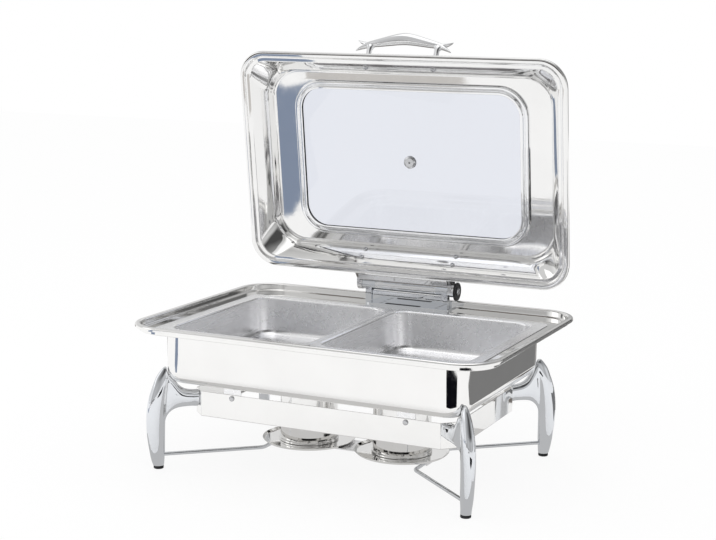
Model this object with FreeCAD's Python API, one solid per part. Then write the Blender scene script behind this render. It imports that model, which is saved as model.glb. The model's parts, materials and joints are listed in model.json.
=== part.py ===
"""Rectangular chafing dish with a damped, hinged glass lid on a four-legged stand.

Millimetres. X runs along the dish, +Y to the back where the hinge is, Z up.
The stand's centre line is Y = 0 while the pieces are made, and the finished
pieces are then shifted so that the origin is under the middle of the whole dish.
The lid is drawn closed and turned open about the hinge pin, which is how it rests.
"""

import os
import math
import FreeCAD
import Part

V = FreeCAD.Vector

# Fits between pieces
SEAT_GAP = 0.2           # flat face resting on a flat face of a piece that lifts off
RUN_GAP = 0.3            # side faces that pass each other at the hinge
PIN_CLEARANCE = 0.06     # radial clearance of the hinge pin in its bores

# Food pans, two half-size pans side by side
FOOD_LENGTH = 264.6
FOOD_DEPTH = 325.0
FOOD_FORWARD = 3.0       # middle of the pans in front of the middle of the water pan
FOOD_HEIGHT = 65.0
FOOD_SHEET = 1.0
FOOD_FLANGE = 19.0       # flange edge to the wall of the pan
FOOD_MIDDLE_GAP = 0.8
FOOD_TAPER = 5.0
FOOD_CORNER = 24.0
FOOD_FLANGE_CORNER = 14.0
FOOD_FLOOR_RADIUS = 12.0
FOOD_MOUTH_RADIUS = 4.0

# Water pan
PAN_LENGTH = 2 * FOOD_LENGTH + FOOD_MIDDLE_GAP - 30.0
PAN_DEPTH = FOOD_DEPTH + 23.0
PAN_CENTRE = -5.0
PAN_SHEET = 1.5
PAN_CORNER = 38.0
PAN_BOTTOM_RADIUS = 20.0
PAN_FLANGE = 10.0

# Stand: legs, apron and feet
FRAME_LENGTH = PAN_LENGTH - 60.0
FRAME_DEPTH = PAN_DEPTH - 76.0
FRAME_CHAMFER = 20.0
FRAME_BOTTOM = 82.0
FRAME_HEIGHT = 39.5
FRAME_SHEET = 1.5
FRAME_RETURN = 8.0       # stiffening return along the bottom edge
LEG_SETBACK = 64.3       # foot centre outside the apron's chamfered face
LEG_HEIGHT = 161.0
LEG_TO_PAN = 1.0         # room between a leg and the water pan beside it
LEG_WIDTH = 20.0
FOOT_DIAMETER = 16.5
FOOT_HEIGHT = 4.0
FOOT_STEP = 0.4          # rubber foot inside the outline of the leg
FOOT_ROUND = 1.2
FOOT_SPIGOT = 7.0
SPIGOT_LENGTH = 9.0
ARM_HEIGHT = 26.0
ARM_WIDTH = 16.0
ARM_BOTTOM = 95.5
BOLT_DIAMETER = 6.0
BOLT_LENGTH = 20.0
BOLT_HEAD = 10.0
BOLT_HEAD_HEIGHT = 4.0
BOLT_RISE = 9.0          # bolt above the underside of the arm

# Pan rests bolted inside the apron
REST_RISE = 16.5         # bottom of the water pan above the apron
REST_SPACING = FRAME_LENGTH - 150.0
REST_WIDTH = 30.0
REST_SHEET = 2.0
REST_SHELF = 22.0
REST_DROP = 36.0
REST_SCREW = 4.0
REST_SCREW_HEAD = 8.5
REST_SCREW_DROP = 5.5    # below the top of the apron
NUT_HEIGHT = 3.0
PAN_BOTTOM = FRAME_BOTTOM + FRAME_HEIGHT + REST_RISE

# Burner carrier
ROD_DIAMETER = 6.0
ROD_HEIGHT = 22.0
ROD_SPACING = 260.0      # between the two straight stretches under the trays
ROD_STRAIGHT = 124.0
ROD_BEND = 14.0
BAR_WIDTH = 54.0
BAR_SHEET = 2.0
BAR_HOOK = 6.0
BURNER_SPACING = 162.0
TRAY_DIAMETER = 150.0
TRAY_SHEET = 1.2
TRAY_RIM = 4.5
CUP_DIAMETER = 91.0
CUP_HEIGHT = 80.0
CUP_SHEET = 1.2
CUP_FOOT = 95.0
CUP_FOOT_HEIGHT = 3.5
CUP_BEAD = 1.6
RIVET_DIAMETER = 4.0
RIVET_HEAD = 9.0
RIVET_HEAD_HEIGHT = 1.0

# Rim over the water pan
RIM_LENGTH = PAN_LENGTH + 95.0
RIM_FRONT = PAN_CENTRE - PAN_DEPTH / 2.0 - 32.0
RIM_BACK = PAN_CENTRE + PAN_DEPTH / 2.0 + 53.0
RIM_CORNER = 60.0
RIM_LEDGE = PAN_BOTTOM + 81.5
RIM_SHEET = 1.5
LIP_WIDTH = 9.0
LIP_TOP = RIM_LEDGE + 11.0
LIP_DROP = 6.0
LIP_ROUND = 3.0
SEAT_LENGTH = PAN_LENGTH - 1.0
SEAT_DEPTH = FOOD_DEPTH - 22.0
SEAT_CORNER = 24.0
FOOD_CENTRE = PAN_CENTRE - FOOD_FORWARD

# Hinge, read from left to right along the pin
HINGE_Y = RIM_BACK - 11.0
HINGE_Z = RIM_LEDGE + 27.1
OPEN_ANGLE = 82.0
HINGE_LEFT = -94.0
ARM_LEFT = 8.7
KNUCKLE_LEFT = 24.0
TUBE_LENGTH = 111.0
KNUCKLE_RIGHT = 21.0
ARM_RIGHT = 11.7
CAP_THICK = 3.2
CAP_DIAMETER = 31.0
CAP_ROUND = 1.2
CAP_SCREW_HEAD = 12.0
CAP_SCREW_HEAD_HEIGHT = 2.0
CAP_SCREW = 3.0
CAP_SCREW_REACH = 12.0   # thread in the end of the pin
PIN_DIAMETER = 6.0
KNUCKLE_DIAMETER = 18.0
BOSS_DIAMETER = 20.0
WEB_THICK = 6.0
BASE_LEFT = -64.0
BASE_THICK = 2.0
BASE_FRONT = HINGE_Y - 37.0
BASE_CORNER = 5.0
BASE_CLEAR = 0.5         # base plate to the rim's lip
EAR_WIDTH = 11.0
EAR_FORWARD = 8.0        # front of the ears ahead of the pin
SADDLE_THICK = 5.0       # wall between the ears, under the oil tube
SADDLE_CLEAR = 0.8
BASE_SCREW = 4.0
BASE_SCREW_HEAD = 7.6
BASE_SCREW_FRONT = HINGE_Y - 26.5
BASE_SCREW_BACK = HINGE_Y - 13.0
BASE_SCREW_SPAN = 100.0
BUFFER_LENGTH = 64.0
BUFFER_WIDTH = 9.0
BUFFER_FRONT = HINGE_Y - 34.0
BUFFER_RISE = 0.3        # rubber above the base plate
DAMPER_BORE = 14.4
ROTOR_DIAMETER = 9.0
VANE_THICK = 2.4
VANE_CLEAR = 0.3
ABUTMENT_THICK = 5.0
STOP_GAP = 0.4           # vane to abutment with the lid fully open
SEAL_RING = 2.0
BRIDGE_RADIUS = 18.0     # middle of the bracket's crossbar from the pin
BRIDGE_ANGLE = 211.0
BRIDGE_DEPTH = 9.0
BRIDGE_HEIGHT = 8.0
BRIDGE_ROUND = 1.5
BRIDGE_HOLE = 4.0
BRIDGE_HOLE_X = -22.0
PAD_WIDTH = 22.0
PAD_THICK = 3.0
PAD_HEIGHT = 32.0
PAD_SINK = 4.0           # cut back again to the lid's wall
BRACKET_SCREW = 4.0
BRACKET_SCREW_HEAD = 8.0
BRACKET_SCREW_X = 82.0

# Lid
LID_LENGTH = RIM_LENGTH - 24.0
LID_FRONT = RIM_FRONT + 26.0
LID_BACK = HINGE_Y - 25.0
LID_DEPTH = LID_BACK - LID_FRONT
LID_CORNER = 46.0
LID_GAP = 2.5            # rolled edge above the rim's ledge, closed
LID_ROLL = 6.0           # diameter of the wired edge
LID_SHEET = 1.2
LID_FLANGE = 17.0
DOME_DEPTH = 46.0
# each step of the wall: share of its height, distance in from its foot, corner radius
DOME_STEPS = (
    (0.0, 0.0, 31.0),
    (0.256, 7.4, 37.0),
    (0.628, 17.0, 44.0),
    (0.884, 26.0, 50.0),
    (1.0, 35.0, 52.0),
)
GLASS_LENGTH = LID_LENGTH - 180.0
GLASS_DEPTH = LID_DEPTH - 134.0
GLASS_CORNER = 30.0
GLASS_THICK = 4.0
GLASS_SINK = 3.0         # inner face of the glass below the roof sheet
SEAL_WALL = 2.0
SEAL_LIP = 3.0
SEAL_THICK = 1.4
TRIM_WIDTH = 11.3
TRIM_HEIGHT = 4.0
TRIM_ROUND = 1.8
VENT_DIAMETER = 21.0
VENT_STEM = 9.0
VENT_BORE = 3.0
VENT_FLANGE = 2.2

# Lid handle
HANDLE_SPACING = 118.0
HANDLE_LENGTH = 167.0
HANDLE_REACH = 62.8      # top of the grip above the wall of the lid
GRIP_BACK = 5.0          # grip's shift towards the roof of the lid
GRIP_HEIGHT = 19.6
GRIP_WIDTH = 17.2
FORK_RISE = 7.4          # tip of the upper prong above the axis of the post's end
FORK_DROP = 11.2
POST_LENGTH = 41.0
POST_DIAMETER = 9.0
POST_FOOT = 13.0
POST_FLARE = 5.0
HANDLE_SCREW = 5.0
HANDLE_SCREW_HEAD = 9.0
HANDLE_THREAD = 14.0     # screw in the post
SCREW_HEAD_HEIGHT = 2.4
WASHER_DIAMETER = 16.0
WASHER_THICK = 1.6


# General shapes

def rounded(length, depth, radius, z, centre_x=0.0, centre_y=0.0):
    """Closed wire of a rectangle with round corners, flat at height z."""
    x = length / 2.0
    y = depth / 2.0
    r = radius
    k = r * (1.0 - math.sqrt(0.5))
    cx = centre_x
    cy = centre_y

    def p(px, py):
        return V(cx + px, cy + py, z)

    edges = [
        Part.LineSegment(p(-x + r, -y), p(x - r, -y)).toShape(),
        Part.Arc(p(x - r, -y), p(x - k, -y + k), p(x, -y + r)).toShape(),
        Part.LineSegment(p(x, -y + r), p(x, y - r)).toShape(),
        Part.Arc(p(x, y - r), p(x - k, y - k), p(x - r, y)).toShape(),
        Part.LineSegment(p(x - r, y), p(-x + r, y)).toShape(),
        Part.Arc(p(-x + r, y), p(-x + k, y - k), p(-x, y - r)).toShape(),
        Part.LineSegment(p(-x, y - r), p(-x, -y + r)).toShape(),
        Part.Arc(p(-x, -y + r), p(-x + k, -y + k), p(-x + r, -y)).toShape(),
    ]
    return Part.Wire(edges)


def slab(length, depth, radius, z0, z1, centre_x=0.0, centre_y=0.0):
    """Rounded rectangle raised from z0 to z1."""
    face = Part.Face(rounded(length, depth, radius, z0, centre_x, centre_y))
    return face.extrude(V(0, 0, z1 - z0))


def box(x0, x1, y0, y1, z0, z1):
    """Box between two corners."""
    return Part.makeBox(x1 - x0, y1 - y0, z1 - z0, V(x0, y0, z0))


def rod_x(x0, x1, radius, y, z):
    """Round bar along X."""
    return Part.makeCylinder(radius, x1 - x0, V(x0, y, z), V(1, 0, 0))


def edges_at(shape, z, tolerance=0.01):
    """Edges that lie flat at height z."""
    def flat(bounds):
        return abs(bounds.ZMin - z) < tolerance and abs(bounds.ZMax - z) < tolerance

    return [e for e in shape.Edges if flat(e.BoundBox)]


def oval(point, side, up, half_width, half_height, power=2.0, count=16):
    """Closed smooth curve, an ellipse at power 2 and squarer above it."""
    points = []
    for i in range(count):
        a = 2.0 * math.pi * i / count
        c = math.cos(a)
        s = math.sin(a)
        u = half_width * math.copysign(abs(c) ** (2.0 / power), c)
        w = half_height * math.copysign(abs(s) ** (2.0 / power), s)
        points.append(point + side * u + up * w)
    curve = Part.BSplineCurve()
    curve.interpolate(Points=points, PeriodicFlag=True)
    return Part.Wire([curve.toShape()])


def join(*shapes):
    """One solid from pieces that overlap or share a face."""
    whole = shapes[0].fuse(list(shapes[1:])) if len(shapes) > 1 else shapes[0]
    whole = whole.removeSplitter()
    return whole.Solids[0] if len(whole.Solids) == 1 else whole


def group(shapes):
    """Separate alike solids kept in one sub-part."""
    return Part.makeCompound([s for shape in shapes for s in shape.Solids])


def four_corners():
    """Name and signs of each corner of the stand."""
    for end, sx in (("left", -1), ("right", 1)):
        for side, sy in (("front", -1), ("back", 1)):
            yield side + "_" + end, sx, sy


PIECES = {}


# Stand

CHAMFER_X = FRAME_LENGTH / 2.0 - FRAME_CHAMFER / 2.0
CHAMFER_Y = FRAME_DEPTH / 2.0 - FRAME_CHAMFER / 2.0
FOOT_X = CHAMFER_X + LEG_SETBACK / math.sqrt(2.0)
FOOT_Y = CHAMFER_Y + LEG_SETBACK / math.sqrt(2.0)


def octagon(inset, z):
    """Outline of the apron, drawn in by inset on every face."""
    x = FRAME_LENGTH / 2.0 - inset
    y = FRAME_DEPTH / 2.0 - inset
    c = FRAME_CHAMFER - inset * (2.0 - math.sqrt(2.0))
    points = [V(-x + c, -y, z), V(x - c, -y, z), V(x, -y + c, z), V(x, y - c, z)]
    points += [V(x - c, y, z), V(-x + c, y, z), V(-x, y - c, z), V(-x, -y + c, z)]
    return Part.makePolygon(points + points[:1])


def ring_of(outer, inner, height):
    """Band between two flat outlines."""
    return Part.Face(outer).extrude(V(0, 0, height)).cut(Part.Face(inner).extrude(V(0, 0, height)))


def at_corner(shape, sx, sy):
    """Turn a shape drawn along +X, with its foot at the origin, to a corner of the stand."""
    turned = shape.copy()
    turned.rotate(V(0, 0, 0), V(0, 0, 1), math.degrees(math.atan2(sy, sx)))
    turned.translate(V(sx * FOOT_X, sy * FOOT_Y, 0))
    return turned


def horn():
    """Upright of a leg, from the round foot to the pointed tip, with +X outward."""
    half = FOOT_DIAMETER / 2.0
    steps = [
        (FOOT_HEIGHT, -half, half, FOOT_DIAMETER),
        (22.0, -9.8, 13.2, LEG_WIDTH * 0.88),
        (48.0, -10.4, 17.2, LEG_WIDTH * 0.95),
        (74.0, -10.9, 18.8, LEG_WIDTH),
        (98.0, -12.2, 17.2, LEG_WIDTH * 1.03),
        (118.0, -14.4, 13.0, LEG_WIDTH * 0.98),
        (134.0, -16.8, 7.2, LEG_WIDTH * 0.85),
        (LEG_HEIGHT - 15.0, -18.4, 2.0, LEG_WIDTH * 0.66),
        (LEG_HEIGHT - 7.0, -17.9, -3.6, LEG_WIDTH * 0.47),
        (LEG_HEIGHT - 2.0, -16.2, -7.8, LEG_WIDTH * 0.28),
        (LEG_HEIGHT, -14.2, -10.0, LEG_WIDTH * 0.12),
    ]
    wires = []
    for z, inner, outer, width in steps:
        middle = V((inner + outer) / 2.0, 0, z)
        wires.append(oval(middle, V(1, 0, 0), V(0, 1, 0), (outer - inner) / 2.0, width / 2.0))
    return Part.makeLoft(wires, True, False)


def leg_arm():
    """Arm from the horn to the apron, swept up and down into the horn."""
    top = ARM_BOTTOM + ARM_HEIGHT
    steps = [
        (-LEG_SETBACK, ARM_BOTTOM, top, ARM_WIDTH),
        (-54.0, ARM_BOTTOM, top + 0.4, ARM_WIDTH),
        (-46.0, ARM_BOTTOM, top + 1.6, ARM_WIDTH),
        (-39.0, ARM_BOTTOM - 0.2, top + 4.2, ARM_WIDTH),
        (-33.0, ARM_BOTTOM - 0.8, top + 9.0, ARM_WIDTH),
        (-28.0, ARM_BOTTOM - 2.0, top + 16.0, ARM_WIDTH * 0.98),
        (-23.0, ARM_BOTTOM - 4.2, top + 25.0, ARM_WIDTH * 0.92),
        (-18.0, ARM_BOTTOM - 8.0, top + 32.0, ARM_WIDTH * 0.80),
        (-13.0, ARM_BOTTOM - 15.0, top + 34.5, ARM_WIDTH * 0.62),
        (-8.0, ARM_BOTTOM - 26.0, top + 33.0, ARM_WIDTH * 0.40),
    ]
    wires = []
    for x, low, high, width in steps:
        middle = V(x, 0, (low + high) / 2.0)
        wires.append(oval(middle, V(0, 1, 0), V(0, 0, 1), width / 2.0, (high - low) / 2.0, 2.6))
    return Part.makeLoft(wires, True, False)


ROD_X = ROD_SPACING / 2.0
ROD_Y = ROD_STRAIGHT / 2.0


def side_rod(sx):
    """Stretcher from the front leg to the back leg, bent in under the trays."""
    z = ROD_HEIGHT
    start = V(sx * FOOT_X, -FOOT_Y, z)
    knee = V(sx * ROD_X, -ROD_Y, z)
    run = knee - start
    run.normalize()
    # the rod enters the leg no further than its middle
    start = start + run * 4.0
    turn = math.acos(run.dot(V(0, 1, 0)))
    cut = ROD_BEND * math.tan(turn / 2.0)
    before = knee - run * cut
    after = knee + V(0, cut, 0)
    half = run * -1 + V(0, 1, 0)
    half.normalize()
    centre = knee + half * (ROD_BEND / math.cos(turn / 2.0))
    inward = knee - centre
    inward.normalize()
    middle = centre + inward * ROD_BEND

    def mirrored(p):
        return V(p.x, -p.y, p.z)

    path = Part.Wire([
        Part.LineSegment(start, before).toShape(),
        Part.Arc(before, middle, after).toShape(),
        Part.LineSegment(after, mirrored(after)).toShape(),
        Part.Arc(mirrored(after), mirrored(middle), mirrored(before)).toShape(),
        Part.LineSegment(mirrored(before), mirrored(start)).toShape(),
    ])
    section = Part.Wire([Part.Circle(start, run, ROD_DIAMETER / 2.0).toShape()])
    return path.makePipeShell([section], True, False)


def stand():
    """Apron, legs, feet, bolts, pan rests and rods."""
    apron = ring_of(octagon(0, FRAME_BOTTOM), octagon(FRAME_SHEET, FRAME_BOTTOM), FRAME_HEIGHT)
    lower = ring_of(octagon(0, FRAME_BOTTOM), octagon(FRAME_RETURN, FRAME_BOTTOM), FRAME_SHEET)
    apron = join(apron, lower)

    rods = {"left": side_rod(-1), "right": side_rod(1)}
    upright = horn().fuse(leg_arm()).removeSplitter().Solids[0]
    socket = Part.makeCylinder(FOOT_SPIGOT / 2.0, SPIGOT_LENGTH, V(0, 0, FOOT_HEIGHT))
    bolt_z = ARM_BOTTOM + BOLT_RISE
    bore = Part.makeCylinder(BOLT_DIAMETER / 2.0, BOLT_LENGTH, V(-LEG_SETBACK, 0, bolt_z), V(1, 0, 0))
    leg = upright.cut(socket).cut(bore)

    pad = Part.makeCylinder(FOOT_DIAMETER / 2.0 - FOOT_STEP, FOOT_HEIGHT)
    pad = pad.makeFillet(FOOT_ROUND, edges_at(pad, 0))
    pad = join(pad, Part.makeCylinder(FOOT_SPIGOT / 2.0, SPIGOT_LENGTH, V(0, 0, FOOT_HEIGHT)))

    inner = -LEG_SETBACK - FRAME_SHEET
    bolt = Part.makeCylinder(BOLT_DIAMETER / 2.0, BOLT_LENGTH + FRAME_SHEET, V(inner, 0, bolt_z), V(1, 0, 0))
    head = Part.makeCylinder(BOLT_HEAD / 2.0, BOLT_HEAD_HEIGHT, V(inner, 0, bolt_z), V(-1, 0, 0))
    bolt = join(bolt, head)
    bolts = []
    # the legs are ground back where they would touch the pan
    pan_room = pan_body(LEG_TO_PAN, RIM_LEDGE)
    for name, sx, sy in four_corners():
        end = "left" if sx < 0 else "right"
        PIECES["leg_" + name] = at_corner(leg, sx, sy).cut(rods[end]).cut(pan_room).Solids[0]
        PIECES["foot_" + name] = at_corner(pad, sx, sy)
        placed = at_corner(bolt, sx, sy)
        bolts.append(placed)
        apron = apron.cut(placed)
    PIECES["leg_bolts"] = group(bolts)
    PIECES["side_rod_left"] = rods["left"]
    PIECES["side_rod_right"] = rods["right"]

    rests = []
    screws = []
    for sy in (-1, 1):
        for sx in (-1, 1):
            rest, screw = pan_rest(sx * REST_SPACING / 2.0)
            if sy < 0:
                rest = rest.mirror(V(0, 0, 0), V(0, 1, 0))
                screw = screw.mirror(V(0, 0, 0), V(0, 1, 0))
            rests.append(rest.cut(screw))
            screws.append(screw)
            apron = apron.cut(screw)
    PIECES["pan_rests"] = group(rests)
    PIECES["rest_screws"] = group(screws)
    PIECES["stand_frame"] = apron.Solids[0]


def pan_rest(x):
    """Angle bracket inside the back of the apron at x, and its round-headed screw with a nut."""
    outside = FRAME_DEPTH / 2.0
    wall = outside - FRAME_SHEET
    top = PAN_BOTTOM - SEAT_GAP
    half = REST_WIDTH / 2.0
    plate = box(x - half, x + half, wall - REST_SHEET, wall, top - REST_DROP, top)
    shelf = box(x - half, x + half, wall - REST_SHELF, wall, top - REST_SHEET, top)

    z = FRAME_BOTTOM + FRAME_HEIGHT - REST_SCREW_DROP
    radius = REST_SCREW_HEAD / 2.0
    grip = FRAME_SHEET + REST_SHEET
    shank = Part.makeCylinder(REST_SCREW / 2.0, grip, V(x, outside - grip, z), V(0, 1, 0))
    dome = Part.makeSphere(REST_SCREW_HEAD * 0.6, V(x, outside - REST_SCREW_HEAD * 0.35, z))
    dome = dome.common(Part.makeCylinder(REST_SCREW_HEAD, REST_SCREW_HEAD, V(x, outside, z), V(0, 1, 0)))
    nut = Part.makeCylinder(radius, NUT_HEIGHT, V(x, outside - grip - NUT_HEIGHT, z), V(0, 1, 0))
    return join(plate, shelf), join(shank, dome, nut)


def burners():
    """Bar across the rods, a drip tray at each end of it and a fuel cup on each tray."""
    bar_z = ROD_HEIGHT + ROD_DIAMETER / 2.0
    end = ROD_X + ROD_DIAMETER / 2.0
    half = BAR_WIDTH / 2.0
    bar = box(-end - BAR_SHEET, end + BAR_SHEET, -half, half, bar_z, bar_z + BAR_SHEET)
    hooks = []
    for sx in (-1, 1):
        x0 = min(sx * end, sx * (end + BAR_SHEET))
        hooks.append(box(x0, x0 + BAR_SHEET, -half, half, bar_z - BAR_HOOK, bar_z))
    bar = join(bar, *hooks)
    floor = bar_z + BAR_SHEET
    rivets = []
    for name, sx in (("left", -1), ("right", 1)):
        x = sx * BURNER_SPACING / 2.0
        radius = TRAY_DIAMETER / 2.0
        outline = [V(0, 0, floor), V(radius - TRAY_RIM, 0, floor), V(radius, 0, floor + TRAY_RIM)]
        outline += [V(radius - TRAY_SHEET * 1.4, 0, floor + TRAY_RIM)]
        outline += [V(radius - TRAY_RIM - 0.5, 0, floor + TRAY_SHEET), V(0, 0, floor + TRAY_SHEET)]
        section = Part.Face(Part.makePolygon(outline + outline[:1]))
        tray = section.revolve(V(0, 0, 0), V(0, 0, 1), 360)
        tray.translate(V(x, 0, 0))
        rivet = Part.makeCylinder(RIVET_DIAMETER / 2.0, BAR_SHEET + TRAY_SHEET, V(x, 0, bar_z))
        head = Part.makeCylinder(RIVET_HEAD / 2.0, RIVET_HEAD_HEIGHT, V(x, 0, bar_z - RIVET_HEAD_HEIGHT))
        rivet = join(rivet, head)
        rivets.append(rivet)
        tray = tray.cut(rivet).Solids[0]
        bar = bar.cut(rivet)
        PIECES["drip_tray_" + name] = tray
        PIECES["fuel_cup_" + name] = fuel_cup(x, floor + TRAY_SHEET + SEAT_GAP)
    PIECES["burner_rivets"] = group(rivets)
    PIECES["burner_bar"] = bar.Solids[0]


def fuel_cup(x, z):
    """Open cup that takes a can of fuel, with a stepped foot and a rolled mouth."""
    r = CUP_DIAMETER / 2.0
    t = CUP_SHEET
    foot = CUP_FOOT / 2.0
    top = CUP_HEIGHT
    outline = [V(0, 0, 0), V(foot - 1.0, 0, 0), V(foot, 0, 1.0), V(foot, 0, CUP_FOOT_HEIGHT - 1.0)]
    outline += [V(r, 0, CUP_FOOT_HEIGHT), V(r, 0, top - CUP_BEAD), V(r - t, 0, top - CUP_BEAD)]
    outline += [V(r - t, 0, t), V(0, 0, t)]
    cup = Part.Face(Part.makePolygon(outline + outline[:1])).revolve(V(0, 0, 0), V(0, 0, 1), 360)
    bead = Part.makeTorus(r - t / 2.0, CUP_BEAD, V(0, 0, top - CUP_BEAD))
    cup = join(cup, bead)
    cup.translate(V(x, 0, z))
    return cup


# Water pan and rim

RIM_CENTRE = (RIM_FRONT + RIM_BACK) / 2.0
RIM_DEPTH = RIM_BACK - RIM_FRONT


def rim_slab(inset, z0, z1):
    """Slab of the rim's outline, drawn in by inset."""
    length = RIM_LENGTH - 2 * inset
    return slab(length, RIM_DEPTH - 2 * inset, RIM_CORNER - inset, z0, z1, 0, RIM_CENTRE)


def pan_slab(grow, z0, z1):
    """Upright slab with the water pan's outline, let out by grow."""
    return slab(PAN_LENGTH + 2 * grow, PAN_DEPTH + 2 * grow, PAN_CORNER + grow, z0, z1, 0, PAN_CENTRE)


def pan_body(grow, top):
    """Body of the water pan up to a height, with its rounded floor, let out by grow."""
    body = pan_slab(grow, PAN_BOTTOM - grow, top)
    return body.makeFillet(PAN_BOTTOM_RADIUS + grow, edges_at(body, PAN_BOTTOM - grow))


def water_pan():
    """Deep pan that holds the hot water, and the drawn rim welded on its flange."""
    flange_top = RIM_LEDGE - RIM_SHEET
    t = PAN_SHEET
    outer = pan_body(0, flange_top)
    inner = pan_body(-t, flange_top + t)
    flange = pan_slab(PAN_FLANGE, flange_top - t, flange_top)
    PIECES["water_pan"] = join(outer, flange).cut(inner).Solids[0]

    t = RIM_SHEET
    hem = LIP_TOP - LIP_DROP
    under = LIP_TOP - t
    lip = rim_slab(0, hem, LIP_TOP).cut(rim_slab(LIP_WIDTH, hem, LIP_TOP))
    lip = lip.makeFillet(LIP_ROUND, edges_at(lip, LIP_TOP))
    channel = rim_slab(t, hem, under).cut(rim_slab(LIP_WIDTH - t, hem, under))
    channel = channel.makeFillet(LIP_ROUND / 2.0, edges_at(channel, under))
    lip = lip.cut(channel)
    inner_wall = rim_slab(LIP_WIDTH - t, RIM_LEDGE - t, hem).cut(rim_slab(LIP_WIDTH, RIM_LEDGE - t, hem))
    ledge = rim_slab(LIP_WIDTH - t, RIM_LEDGE - t, RIM_LEDGE)
    seat = slab(SEAT_LENGTH, SEAT_DEPTH, SEAT_CORNER, RIM_LEDGE - t, RIM_LEDGE, 0, FOOD_CENTRE)
    PIECES["rim_frame"] = join(lip, inner_wall, ledge.cut(seat))


def food_pan(side):
    """Half-size pan: flange, rounded mouth, slightly tapered walls and rounded floor."""
    t = FOOD_SHEET
    top = RIM_LEDGE + SEAT_GAP + t
    centre = side * (FOOD_LENGTH + FOOD_MIDDLE_GAP) / 2.0
    bottom = top - FOOD_HEIGHT

    def tub(grow, low, corner, floor_radius):
        length = FOOD_LENGTH - 2 * FOOD_FLANGE + 2 * grow
        depth = FOOD_DEPTH - 2 * FOOD_FLANGE + 2 * grow
        wires = [
            rounded(length - 2 * FOOD_TAPER, depth - 2 * FOOD_TAPER, corner, low, centre, FOOD_CENTRE),
            rounded(length, depth, corner, top, centre, FOOD_CENTRE),
        ]
        solid = Part.makeLoft(wires, True, True)
        return solid.makeFillet(floor_radius, edges_at(solid, low))

    outer = tub(0.0, bottom, FOOD_CORNER, FOOD_FLOOR_RADIUS)
    inner = tub(-t, bottom + t, FOOD_CORNER - t, FOOD_FLOOR_RADIUS - t)
    flange = slab(FOOD_LENGTH, FOOD_DEPTH, FOOD_FLANGE_CORNER, top - t, top, centre, FOOD_CENTRE)
    body = join(outer, flange)
    mouth = [e for e in edges_at(body, top - t) if inside_flange(e, centre)]
    body = body.makeFillet(FOOD_MOUTH_RADIUS - t, mouth)
    body = body.cut(inner)
    lip = [e for e in edges_at(body, top) if inside_flange(e, centre)]
    return body.makeFillet(FOOD_MOUTH_RADIUS, lip).Solids[0]


def inside_flange(edge, centre):
    """True for an edge of the pan's mouth, false for one of the flange's outline."""
    middle = edge.BoundBox.Center
    margin = FOOD_FLANGE / 2.0
    clear_x = abs(middle.x - centre) < FOOD_LENGTH / 2.0 - margin
    clear_y = abs(middle.y - FOOD_CENTRE) < FOOD_DEPTH / 2.0 - margin
    return clear_x and clear_y


# Lid, drawn closed

LID_BOTTOM = RIM_LEDGE + LID_GAP
LID_CENTRE = (LID_BACK + LID_FRONT) / 2.0
LID_PLATE = LID_BOTTOM + LID_ROLL / 2.0
ROOF_IN = LID_BOTTOM + DOME_DEPTH
ROOF_OUT = ROOF_IN + LID_SHEET


def lid_wire(inset, corner, z):
    """Outline of the lid, drawn in by inset, at height z."""
    return rounded(LID_LENGTH - 2 * inset, LID_DEPTH - 2 * inset, corner, z, 0, LID_CENTRE)


def wall_point(step):
    """Distance in from the lid's edge and height of one step of the dome's wall."""
    share, inset, corner = DOME_STEPS[step]
    return LID_FLANGE + inset, LID_PLATE + share * (ROOF_IN - LID_PLATE)


def wall_slope(first, last):
    """Angle of the dome's wall from upright between two steps, in degrees."""
    inset_a, z_a = wall_point(first)
    inset_b, z_b = wall_point(last)
    return math.degrees(math.atan2(inset_b - inset_a, z_b - z_a))


def dome(grow):
    """Space under the dome, or with grow the same space and the sheet around it."""
    wires = []
    for step, (share, inset, corner) in enumerate(DOME_STEPS):
        edge, z = wall_point(step)
        wires.append(lid_wire(edge - grow, corner + grow, z + grow * share))
    return Part.makeLoft(wires, True, False)


def lid_shell():
    """Drawn lid: wired edge, flat flange, sloping walls and a roof with the window opening."""
    outer = dome(LID_SHEET)
    inner = dome(0.0)
    roll_in = LID_ROLL / 2.0
    path = lid_wire(roll_in, LID_CORNER - roll_in, LID_PLATE)
    start = path.Edges[0].valueAt(path.Edges[0].FirstParameter)
    section = Part.Wire([Part.Circle(start, V(1, 0, 0), roll_in).toShape()])
    roll = path.makePipeShell([section], True, False)
    flange = Part.Face(lid_wire(roll_in, LID_CORNER - roll_in, LID_PLATE - LID_SHEET / 2.0))
    flange = flange.extrude(V(0, 0, LID_SHEET))
    below = Part.Face(lid_wire(LID_FLANGE, DOME_STEPS[0][2], LID_BOTTOM)).extrude(V(0, 0, roll_in))
    opening = window_slab(SEAL_WALL, LID_PLATE, ROOF_OUT + LID_SHEET)
    shell = flange.fuse([outer, roll]).cut(below).cut(inner).cut(opening)
    return shell.Solids[0], outer


def window_slab(grow, z0, z1):
    """Slab of the glass outline, let out by grow."""
    length = GLASS_LENGTH + 2 * grow
    return slab(length, GLASS_DEPTH + 2 * grow, GLASS_CORNER + grow, z0, z1, 0, LID_CENTRE)


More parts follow.
